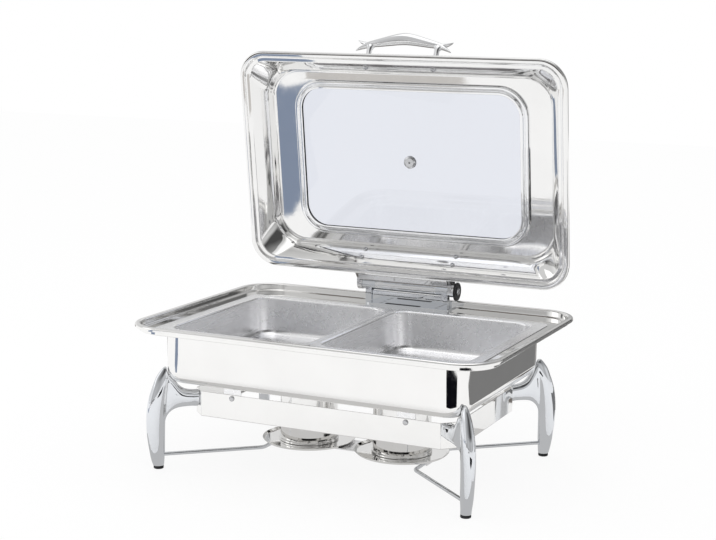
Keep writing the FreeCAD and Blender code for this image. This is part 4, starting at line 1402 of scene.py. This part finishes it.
@dataclass
class Lid(Maker):
    """Drawn dome lid with its window, handle, bracket and the turning half of the hinge."""

    half_x: float = 285.5
    front: float = -192.75
    back: float = 178.25
    bottom: float = 222.0
    corner: float = 46.0
    half_hem: float = 3.0
    hem: float = 8.4
    step_end: float = 3.4
    sheet: float = 1.2
    flange: float = 17.0
    depth: float = 46.0
    steps: tuple[tuple[float, float, float], ...] = (
        (0.0, 0.0, 31.0),
        (0.256, 7.4, 37.0),
        (0.628, 16.6, 43.0),
        (0.884, 19.6, 45.0),
        (1.0, 21.0, 46.0),
    )
    glass_length: float = 391.0
    glass_depth: float = 241.0
    glass_corner: float = 38.0
    glass_thick: float = 4.0
    glass_sink: float = 3.0
    seal_wall: float = 2.0
    seal_lip: float = 1.7
    seal_thick: float = 1.0
    seal_front: float = 2.2
    seal_side: float = 0.5
    seal_gap: float = 0.8
    trim_clearance: float = 0.2
    trim_inner: float = 1.9
    trim_outer: float = 12.2
    trim_height: float = 6.0
    trim_groove: float = 5.0
    vent: float = 21.0
    vent_stem: float = 9.0
    vent_bore: float = 3.0
    vent_flange: float = 2.2
    handle_spacing: float = 118.0
    bracket_screw_x: float = 82.0
    turning: Matrix = field(default_factory=Matrix)

    def __post_init__(self) -> None:
        """Work out how the closed lid turns to its open place."""
        pin = Matrix.Translation(PIN * MM)
        self.turning = pin @ Matrix.Rotation(-OPEN_ANGLE, 4, "X") @ pin.inverted()

    @property
    def plate(self) -> float:
        """Height of the flange's middle with the lid closed."""
        return self.bottom + self.half_hem

    @property
    def roof(self) -> float:
        """Height of the roof's inner face with the lid closed."""
        return self.bottom + self.depth

    @property
    def middle_y(self) -> float:
        """Y of the lid's middle with the lid closed."""
        return (self.front + self.back) / 2.0

    def outline(self) -> RoundRect:
        """Outline of the closed lid."""
        return RoundRect(self.half_x, (self.back - self.front) / 2.0, self.corner, 0.0, self.middle_y)

    def window(self, grow: float) -> RoundRect:
        """Outline of the glass, let out by grow.

        Args:
            grow: Distance that the outline is let out.

        Returns:
            The outline, with the lid closed.
        """
        return RoundRect(
            self.glass_length / 2.0 + grow,
            self.glass_depth / 2.0 + grow,
            self.glass_corner + grow,
            0.0,
            self.middle_y,
        )

    def wall_point(self, step: int) -> Vector:
        """Inset from the lid's edge and height of one step of the wall."""
        share, inset, _ = self.steps[step]
        return Vector((self.flange + inset, self.plate + share * (self.roof - self.plate)))

    def corner_at(self, inset: float) -> float:
        """Corner radius of the lid at a distance in from its edge.

        Args:
            inset: The distance.

        Returns:
            The radius.
        """
        known = [(0.0, self.corner), (self.flange, self.steps[0][2])]
        known += [(self.flange + step[1], step[2]) for step in self.steps[1:]]
        for (a, low), (b, high) in zip(known, known[1:]):
            if inset <= b:
                return low + (high - low) * max(inset - a, 0.0) / (b - a)
        return known[-1][1]

    def turned(self, point: Vector) -> Vector:
        """Place of a point of the closed lid once it is open."""
        return (self.turning @ (point * MM)) / MM

    def turned_way(self, way: Vector) -> Vector:
        """Direction on the closed lid once it is open."""
        return self.turning.to_3x3() @ way

    def build(self) -> None:
        """Build the lid."""
        self.shell()
        self.trim()
        self.seal()
        self.pane()
        self.grommet()
        self.handle()
        self.bracket()
        self.hinge_line()

    def wall(self) -> list[tuple[float, float]]:
        """Inner side of the wall, from the flange to the roof, with its foot and top rounded.

        Returns:
            Distance in from the edge and height of each point.
        """
        half = self.sheet / 2.0
        points = [tuple(self.wall_point(step)) for step in range(len(self.steps))]
        curve = curve_through(points, 5)
        foot = rounded_path([(self.hem + self.step_end, self.plate - half), (*curve[0], 2.4), curve[2]], steps=6)
        top = rounded_path([curve[-3], (*curve[-1], 4.0), (curve[-1][0] + 12.0, self.roof)], steps=7)
        return [(p.x, p.y) for p in foot[:-1]] + curve[2:-2] + [(p.x, p.y) for p in top[1:]]

    def offset(self, path: list[tuple[float, float]], by: float) -> list[tuple[float, float]]:
        """Path moved sideways, to its left, by a distance.

        Args:
            path: The path.
            by: The distance.

        Returns:
            The moved path.
        """
        moved = []
        for i, here in enumerate(path):
            before = Vector(path[max(i - 1, 0)])
            after = Vector(path[min(i + 1, len(path) - 1)])
            way = (after - before).normalized()
            moved.append((here[0] - way.y * by, here[1] + way.x * by))
        return moved

    def levels(self, path: list[tuple[float, float]]) -> list[list[Vector]]:
        """Rings of the closed lid's outline, each drawn in and raised.

        Args:
            path: Distance in from the edge and height of each ring.

        Returns:
            The rings' points.
        """
        outline = self.outline()
        return [outline.shrunk(inset, self.corner_at(inset)).ring(z) for inset, z in path]

    def shell(self) -> None:
        """Drawn sheet: flat rolled hem, flange with a fine step, sloping wall and roof round the window."""
        inner = self.wall()
        outer = self.offset(inner, self.sheet)
        low, high, end = self.plate - self.half_hem, self.plate + self.half_hem, self.hem
        hem = [(p.x, p.y) for p in rounded_path([
            (end, self.plate - 0.9),
            (end, low + 0.3, 1.0),
            (end / 2.0, low, 6.0),
            (0.0, low + 0.3, 2.0),
            (0.0, high - 0.3, 2.0),
            (end / 2.0, high, 6.0),
            (end, high - 0.3, 1.0),
            (end, self.plate + 0.3),
        ], steps=4)]
        step = [(end + 0.4, self.plate - 1.3), (end + 1.2, self.plate - 1.7), (end + 2.2, self.plate - 1.0)]
        back = [(end + 2.2, self.plate + 0.2), (end + 1.2, self.plate - 0.4), (end + 0.4, self.plate)]
        rings = self.levels(step + inner)
        for grow in (self.seal_wall + 0.2, self.seal_wall):
            rings.append(self.window(grow).ring(self.roof + (0.0 if grow > self.seal_wall else 0.2)))
        for grow in (self.seal_wall, self.seal_wall + 0.2):
            rings.append(self.window(grow).ring(self.roof + self.sheet - (0.2 if grow == self.seal_wall else 0.0)))
        rings += self.levels(outer[::-1] + back + hem[::-1])
        skin = Skin()
        skin.loft(rings, closed=True)
        obj = skin.build("lid_pressing", sharp=48.0, place=self.turning)
        self.dress(obj, self.finishes.lid_steel, Body.LID, Slot.POLISHED, ("lid_shell",))

    def trim(self) -> None:
        """Bright rounded frame round the window, inside the lid."""
        gap = self.trim_clearance
        low, high, groove = -self.trim_inner, self.trim_outer, self.trim_groove
        foot = self.roof - self.seal_gap
        base = self.roof - self.trim_height
        shelf = self.roof - self.glass_sink - self.seal_front - gap
        path = rounded_path([
            (low, shelf, 0.1),
            (low, base + 0.2, 0.5),
            ((low + groove) / 2.0 - 1.4, base, 1.8),
            ((low + groove) / 2.0 + 0.8, base, 1.8),
            (groove - 0.7, base + 2.4, 0.5),
            (groove + 0.5, base + 2.6, 0.4),
            (groove + 1.7, base + 0.8, 1.4),
            (high - 1.6, base + 0.8, 1.8),
            (high, base + 3.4, 0.8),
            (high, self.roof, 0.2),
            (self.seal_wall + gap, self.roof, 0.1),
            (self.seal_wall + gap, foot, 0.1),
            (self.seal_side + gap, foot, 0.1),
            (self.seal_side + gap, shelf, 0.1),
        ], closed=True, steps=4)
        skin = Skin()
        skin.loft([self.window(p.x).ring(p.y) for p in path], closed=True)
        obj = skin.build("window_trim_bead", sharp=55.0, place=self.turning)
        self.dress(obj, self.finishes.bright_chrome, Body.LID, Slot.CHROME, ("window_frame",))

    def seal(self) -> None:
        """Black rubber channel round the glass."""
        low = self.roof - self.glass_sink
        high = low + self.glass_thick
        t = self.seal_thick
        wall = self.seal_wall
        side = self.seal_side
        front = self.seal_front
        lip = self.seal_lip
        foot = self.roof - self.seal_gap + self.trim_clearance
        path = rounded_path([
            (side, low - front, 0.2),
            (side, foot, 0.1),
            (wall, foot, 0.2),
            (wall, high + t, 0.3),
            (-lip, high + t, 0.6),
            (-lip, high, 0.3),
            (0.0, high, 0.2),
            (0.0, low, 0.2),
            (-lip, low, 0.2),
            (-lip, low - front, 0.3),
        ], closed=True, steps=3)
        skin = Skin()
        skin.loft([self.window(p.x).ring(p.y) for p in path], closed=True)
        obj = skin.build("window_rubber_channel", sharp=50.0, place=self.turning)
        self.dress(obj, self.finishes.rubber, Body.LID, Slot.RUBBER, ("window_seal",))

    def pane(self) -> None:
        """Tempered glass with ground edges and the hole for its vent."""
        low = self.roof - self.glass_sink
        high = low + self.glass_thick
        arris = 0.4
        rings = [self.window(-arris).ring(low), self.window(0.0).ring(low + arris)]
        rings += [self.window(0.0).ring(high - arris), self.window(-arris).ring(high)]
        edge = self.window(-arris)
        for z in (high, low):
            hole = []
            for point in edge.ring(z):
                a = math.atan2((point.y - edge.middle_y) / edge.half_y, point.x / edge.half_x)
                hole.append(Vector((
                    self.vent_stem / 2.0 * math.cos(a), edge.middle_y + self.vent_stem / 2.0 * math.sin(a), z
                )))
            rings.append(hole)
        skin = Skin()
        skin.loft(rings, closed=True)
        obj = skin.build("window_pane", sharp=40.0, place=self.turning)
        self.dress(obj, self.finishes.glass, Body.LID, Slot.GLASS, ("window_glass",))

    def grommet(self) -> None:
        """Steam vent in the middle of the glass."""
        low = self.roof - self.glass_sink
        high = low + self.glass_thick
        stem = self.vent_stem / 2.0 - 0.05
        reach = self.vent / 2.0
        f = self.vent_flange
        path = rounded_path([
            (self.vent_bore / 2.0, low - f, 0.4),
            (reach - 3.0, low - f, 1.6),
            (reach, low - 0.5, 0.8),
            (reach, low, 0.2),
            (stem, low, 0.1),
            (stem, high, 0.1),
            (reach, high, 0.2),
            (reach, high + 0.5, 0.8),
            (reach - 3.0, high + f, 1.6),
            (self.vent_bore / 2.0, high + f, 0.4),
        ], closed=True, steps=4)
        skin = Skin()
        base = Vector((0.0, self.middle_y, 0.0))
        rings = []
        for p in path:
            ring = []
            for k in range(56):
                a = 2.0 * math.pi * k / 56
                ring.append(base + Vector((p.x * math.cos(a), p.x * math.sin(a), p.y)))
            rings.append(ring)
        skin.loft(rings, closed=True)
        obj = skin.build("steam_vent", sharp=50.0, place=self.turning)
        self.dress(obj, self.finishes.bright, Body.LID, Slot.RUBBER, ("vent_grommet",))

    def handle(self) -> None:
        """Cast handle with forked ends, its washers and screws."""
        grip = cast("handle", "forked_handle", grain=0.7, passes=14)
        self.dress(grip, self.finishes.bright_chrome, Body.LID, Slot.CHROME, ("handle",))
        washers = from_frame("handle_washers", "handle_washer_pair", sharp=30.0, ease=0.25)
        self.dress(washers, self.finishes.bright, Body.LID, Slot.BRIGHT, ("handle_washers",))
        first, seat = self.wall_point(0), self.wall_point(1)
        lean = self.wall_point(2) - first
        lean.normalize()
        out = Vector((0.0, -lean.y, lean.x))
        places = []
        for side in (-1, 1):
            spot = Vector((side * self.handle_spacing / 2.0, self.front + seat.x, seat.y))
            places.append((self.turned(spot), self.turned_way(-out)))
        pattern = Screw(
            shank=5.0, head=9.0, head_height=2.9, grip=6.0, socket=3.4, dome=0.7
        ).make("handle_screw_pattern")
        self.fasten("handle_screw_set", pattern, places, Body.LID, ("handle_screws",))

    def bracket(self) -> None:
        """Arms and crossbar that carry the lid, and their screws through its back wall."""
        arms = from_frame("lid_bracket", "lid_bracket_casting", sharp=30.0, ease=0.7)
        self.dress(arms, self.finishes.bright_chrome, Body.LID, Slot.CHROME, ("lid_bracket",))
        near, far = self.wall_point(1), self.wall_point(2)
        up = (far - near).normalized()
        out = Vector((0.0, up.y, up.x))
        places = []
        for x in (-self.bracket_screw_x, self.bracket_screw_x):
            for point in (near, far):
                spot = Vector((x, self.back - point.x, point.y))
                places.append((self.turned(spot), self.turned_way(-out)))
        pattern = Screw(
            shank=4.0, head=8.0, head_height=2.6, grip=self.sheet + 6.0, nut=8.0, socket=3.0, dome=0.7
        ).make("bracket_screw_pattern")
        self.fasten("bracket_screw_set", pattern, places, Body.LID, ("bracket_screws",))

    def hinge_line(self) -> None:
        """Cap on the damper's end, its screw, and the pieces hidden in the tube."""
        low, high = node_box("damper_cap")
        r = (high.z - low.z) / 2.0
        length = high.x - low.x
        path = rounded_path([
            (0.0, 0.0),
            (r, 0.0, 0.4),
            (r, length, 1.2),
            (0.0, length),
        ], steps=5)
        skin = Skin()
        skin.turned([(p.x, p.y) for p in path], Vector((low.x, PIN.y, PIN.z)), X_AXIS, steps=88)
        cap = skin.build("damper_end_cap", sharp=50.0)
        self.dress(cap, self.finishes.plastic, Body.LID, Slot.PLASTIC, ("damper_cap",))
        head_low, head_high = node_box("cap_screw")
        seat = Vector((high.x, PIN.y, PIN.z))
        pattern = Screw(
            shank=3.0, head=head_high.z - head_low.z, head_height=head_high.x - high.x, grip=12.0, socket=3.2
        ).make("cap_screw_pattern")
        self.fasten("cap_screw_head", pattern, [(seat, X_AXIS)], Body.LID, ("cap_screw",))
        for node, finish in (
            ("hinge_pin", self.finishes.bright),
            ("damper_rotor", self.finishes.bright),
            ("damper_seals", self.finishes.rubber),
        ):
            for part in FRAME["nodes"][node].material_slots:
                part.material = finish


# Studio

@dataclass(frozen=True)
class Flag:
    """Board lying on the floor, seen in polished metal, and through glass where asked."""

    name: str
    level: tuple[float, float, float]
    corners: tuple[tuple[float, float], ...]
    in_glass: bool = False


@dataclass
class Studio:
    """Pale floor, soft lamps, white surroundings and the camera of the photograph."""

    floor_size: float = 12.0
    white_share: float = 0.88
    metal_share: float = 0.12
    board_height: float = 0.001
    flags: tuple[Flag, ...] = (
        Flag("black_flag_front", (0.004, 0.004, 0.006), (
            (0.40, -0.42), (0.74, -0.45), (0.96, -0.57), (0.76, -1.04), (0.43, -1.10), (0.37, -0.60),
        )),
        # Grey board under the dish: painted shadow, the shade of the floor beneath the dish as the metal reflects it.
        Flag("grey_flag_under", (0.58, 0.575, 0.57), ((-0.42, -0.24), (0.40, -0.24), (0.36, 0.26), (-0.42, 0.26))),
        Flag("grey_flag_right", (0.20, 0.20, 0.20), ((0.40, 0.28), (0.9, 0.2), (0.95, 1.3), (0.45, 1.3))),
        Flag("black_flag_right", (0.04, 0.04, 0.04), ((0.45, 1.3), (0.95, 1.3), (1.8, 3.2), (0.6, 3.2))),
        Flag("blue_flag_left", (0.24, 0.29, 0.39), (
            (-0.66, -0.55), (-0.70, -0.78), (-0.86, -1.06), (-0.93, -1.20), (-0.98, -1.45), (-1.15, -1.45),
            (-1.15, -0.98), (-0.82, -0.55),
        )),
        Flag("grey_flag_left", (0.60, 0.58, 0.56), (
            (-0.58, -1.36), (-1.10, -1.50), (-1.25, -1.95), (-0.66, -1.95),
        )),
        Flag("brown_flag_far", (0.10, 0.092, 0.088), ((0.6, -2.6), (-5.0, -2.6), (-5.0, -5.9), (0.6, -5.9))),
        Flag("brown_flag_back", (0.17, 0.155, 0.145), (
            (-1.3, 0.45), (0.38, 0.45), (0.38, 2.2), (-1.5, 2.2),
        ), in_glass=True),
    )
    low_walls: tuple[tuple[float, float], ...] = (
        (-180, 0.34), (-158, 0.38), (-140, 0.80), (-60, 0.84), (-38, 0.92), (-30, 0.70), (-20, 0.44), (-8, 0.60),
        (30, 0.46), (60, 0.62), (82, 0.44), (100, 0.80), (135, 0.62), (148, 0.08), (160, 0.06), (172, 0.20),
        (180, 0.34),
    )
    high_walls: tuple[tuple[float, float], ...] = (
        (-180, 0.45), (-160, 0.90), (-140, 0.70), (-110, 0.65), (-70, 0.68), (-40, 0.60), (-20, 0.52), (0, 0.34),
        (20, 0.23), (38, 0.07), (62, 0.07), (80, 0.28), (150, 0.40), (180, 0.45),
    )
    ceiling: float = 1.0
    camera_place: tuple[float, float, float] = (0.9995, -2.13465, 0.7129)
    camera_yaw: float = -0.43856821
    camera_dip: float = 0.17067090
    camera_roll: float = 0.01262051
    focal_pixels: float = 1538.3173
    picture_width: float = 716.0

    def build(self) -> None:
        """Build the studio."""
        self.floor()
        for flag in self.flags:
            self.board(flag)
        self.world()
        self.lamps()
        self.camera()

    def sheet(self, name: str, corners: tuple[tuple[float, float], ...], height: float) -> bpy.types.Object:
        """Flat sheet at a height.

        Args:
            name: Name of the sheet.
            corners: X and Y of its corners, in metres.
            height: Height over the floor, in metres.

        Returns:
            The sheet.
        """
        mesh = bpy.data.meshes.new(name)
        mesh.from_pydata([(x, y, height) for x, y in corners], [], [tuple(range(len(corners)))])
        obj = bpy.data.objects.new(name, mesh)
        bpy.context.scene.collection.objects.link(obj)
        return obj

    def floor(self) -> None:
        """Plain pale floor that keeps the object's shadow."""
        half = self.floor_size / 2.0
        obj = self.sheet("studio_floor", ((-half, -half), (half, -half), (half, half), (-half, half)), 0.0)
        material = bpy.data.materials.new("pale_floor")
        material.use_nodes = True
        nodes, links = material.node_tree.nodes, material.node_tree.links
        shader = nodes["Principled BSDF"]
        shader.inputs["Base Color"].default_value = (0.93, 0.93, 0.93, 1.0)
        shader.inputs["Roughness"].default_value = 1.0
        shader.inputs["Specular IOR Level"].default_value = 0.0
        glow = nodes.new("ShaderNodeEmission")
        glow.inputs["Strength"].default_value = 1.0
        mix = nodes.new("ShaderNodeMixShader")
        links.new(self.seen(nodes, links, self.white_share, self.metal_share), mix.inputs["Fac"])
        links.new(shader.outputs[0], mix.inputs[1])
        links.new(glow.outputs[0], mix.inputs[2])
        links.new(mix.outputs[0], nodes["Material Output"].inputs["Surface"])
        obj.data.materials.append(material)

    def board(self, flag: Flag) -> None:
        """Lay one board on the floor, out of the camera's own sight.

        Args:
            flag: The board.
        """
        obj = self.sheet(flag.name, flag.corners, self.board_height)
        material = bpy.data.materials.new(flag.name)
        material.use_nodes = True
        nodes, links = material.node_tree.nodes, material.node_tree.links
        face = nodes.new("ShaderNodeEmission")
        face.inputs["Color"].default_value = (*flag.level, 1.0)
        links.new(face.outputs[0], nodes["Material Output"].inputs["Surface"])
        obj.data.materials.append(material)
        obj.visible_camera = False
        obj.visible_diffuse = False
        obj.visible_transmission = flag.in_glass
        obj.visible_shadow = False

    def seen(
        self, nodes: bpy.types.Nodes, links: bpy.types.NodeLinks, white: float, metal: float
    ) -> bpy.types.NodeSocket:
        """Share of plain white in what a ray sees of the background.

        Args:
            nodes: Nodes of the floor's or the world's tree.
            links: Links of that tree.
            white: Share for rays that see it straight or through glass.
            metal: Share for rays that see it in metal.

        Returns:
            The share, which is 0 for the rays that light the object.
        """
        rays = nodes.new("ShaderNodeLightPath")
        total: bpy.types.NodeSocket | None = None
        for name, share in (("Is Camera Ray", white), ("Is Transmission Ray", white), ("Is Glossy Ray", metal)):
            part = nodes.new("ShaderNodeMath")
            part.operation = "MULTIPLY_ADD"
            part.use_clamp = True
            part.inputs[1].default_value = share
            part.inputs[2].default_value = 0.0
            links.new(rays.outputs[name], part.inputs[0])
            if total is not None:
                links.new(total, part.inputs[2])
            total = part.outputs[0]
        return total

    def world(self) -> None:
        """White surroundings, with the walls and softboxes of the studio in what metal reflects."""
        world = bpy.data.worlds.new("studio_world")
        bpy.context.scene.world = world
        world.use_nodes = True
        nodes, links = world.node_tree.nodes, world.node_tree.links
        background = nodes["Background"]
        background.inputs["Strength"].default_value = 1.0

        def ramp(value: bpy.types.NodeSocket, stops: list[tuple[float, float]]) -> bpy.types.NodeSocket:
            """Grey level that follows a value.

            Args:
                value: Value between 0 and 1.
                stops: Value and grey level of each stop, in rising order.

            Returns:
                The grey level.
            """
            node = nodes.new("ShaderNodeValToRGB")
            marks = node.color_ramp.elements
            while len(marks) < len(stops):
                marks.new(0.5)
            for mark, (position, level) in zip(marks, stops):
                mark.position = position
                mark.color = (level, level, level, 1.0)
            links.new(value, node.inputs["Fac"])
            return node.outputs["Color"]

        def math_node(operation: str, a: bpy.types.NodeSocket, b: bpy.types.NodeSocket | float) -> bpy.types.NodeSocket:
            """Result of one sum.

            Args:
                operation: Name of the sum.
                a: First term.
                b: Second term, as a socket or a number.

            Returns:
                The result.
            """
            node = nodes.new("ShaderNodeMath")
            node.operation = operation
            links.new(a, node.inputs[0])
            if isinstance(b, float):
                node.inputs[1].default_value = b
            else:
                links.new(b, node.inputs[1])
            return node.outputs[0]

        def blend(
            share: bpy.types.NodeSocket, a: bpy.types.NodeSocket, b: bpy.types.NodeSocket | tuple
        ) -> bpy.types.NodeSocket:
            """Colour that goes from one to another.

            Args:
                share: Share of the second colour, from 0 to 1.
                a: First colour.
                b: Second colour, as a socket or as numbers.

            Returns:
                The blended colour.
            """
            node = nodes.new("ShaderNodeMixRGB")
            links.new(share, node.inputs[0])
            links.new(a, node.inputs[1])
            if isinstance(b, tuple):
                node.inputs[2].default_value = b
            else:
                links.new(b, node.inputs[2])
            return node.outputs[0]

        place = nodes.new("ShaderNodeTexCoord")
        parts = nodes.new("ShaderNodeSeparateXYZ")
        links.new(place.outputs["Generated"], parts.inputs["Vector"])
        front = math_node("MULTIPLY", parts.outputs["Y"], -1.0)
        azimuth = math_node("ARCTAN2", parts.outputs["X"], front)
        turn = math_node("ADD", math_node("DIVIDE", azimuth, 2.0 * math.pi), 0.5)
        low = ramp(turn, [((a + 180.0) / 360.0, level) for a, level in self.low_walls])
        high = ramp(turn, [((a + 180.0) / 360.0, level) for a, level in self.high_walls])
        walls = blend(ramp(parts.outputs["Z"], [(0.17, 0.0), (0.32, 1.0)]), low, high)
        top = (self.ceiling, self.ceiling, self.ceiling, 1.0)
        room = blend(ramp(parts.outputs["Z"], [(0.82, 0.0), (0.94, 1.0)]), walls, top)
        rays = nodes.new("ShaderNodeLightPath")
        colour = blend(rays.outputs["Is Glossy Ray"], self.plain(nodes), room)
        colour = blend(self.seen(nodes, links, 1.0, 0.0), colour, (1.0, 1.0, 1.0, 1.0))
        links.new(colour, background.inputs["Color"])

    def plain(self, nodes: bpy.types.Nodes) -> bpy.types.NodeSocket:
        """White that lights the object.

        Args:
            nodes: Nodes of the world's tree.

        Returns:
            The colour.
        """
        white = nodes.new("ShaderNodeRGB")
        white.outputs[0].default_value = (0.98, 0.98, 0.98, 1.0)
        return white.outputs[0]

    def lamps(self) -> None:
        """Large soft lamps above and to the left."""
        for name, place, size, power in (
            ("lamp_overhead", (0.1, -0.3, 2.6), 2.4, 8.0),
            ("lamp_left", (-2.4, -1.4, 1.6), 1.8, 6.0),
        ):
            light = bpy.data.lights.new(name, "AREA")
            light.size = size
            light.energy = power
            lamp = bpy.data.objects.new(name, light)
            bpy.context.scene.collection.objects.link(lamp)
            lamp.location = place
            way = Vector((0.0, 0.0, 0.25)) - Vector(place)
            lamp.rotation_euler = way.to_track_quat("-Z", "Y").to_euler()

    def camera(self) -> None:
        """Camera of the photograph."""
        lens = bpy.data.cameras.new("photo_camera")
        lens.sensor_width = 36.0
        lens.lens = self.focal_pixels / self.picture_width * lens.sensor_width
        lens.clip_start = 0.05
        lens.clip_end = 60.0
        yaw, dip, roll = self.camera_yaw, self.camera_dip, self.camera_roll
        ahead = Vector((math.sin(yaw) * math.cos(dip), math.cos(yaw) * math.cos(dip), -math.sin(dip)))
        right = Vector((math.cos(yaw), -math.sin(yaw), 0.0))
        above = right.cross(ahead)
        tilted_right = right * math.cos(roll) + above * math.sin(roll)
        tilted_above = above * math.cos(roll) - right * math.sin(roll)
        turn = Matrix((tilted_right, tilted_above, -ahead)).transposed()
        camera = bpy.data.objects.new("photo_camera", lens)
        bpy.context.scene.collection.objects.link(camera)
        camera.matrix_world = Matrix.Translation(self.camera_place) @ turn.to_4x4()
        bpy.context.scene.camera = camera


def main() -> None:
    """Build the dressed dish and its studio."""
    logging.basicConfig(level=logging.INFO, format="%(name)s: %(message)s")
    finishes = Finishes()
    Stand(finishes).build()
    for side in Side:
        FuelCup(finishes, side).build()
        FoodPan(finishes, side).build()
    Bath(finishes).build()
    Lid(finishes).build()
    Studio().build()
    bpy.context.scene.view_settings.view_transform = "Standard"
    bpy.context.view_layer.update()


if __name__ == "__main__":
    main()
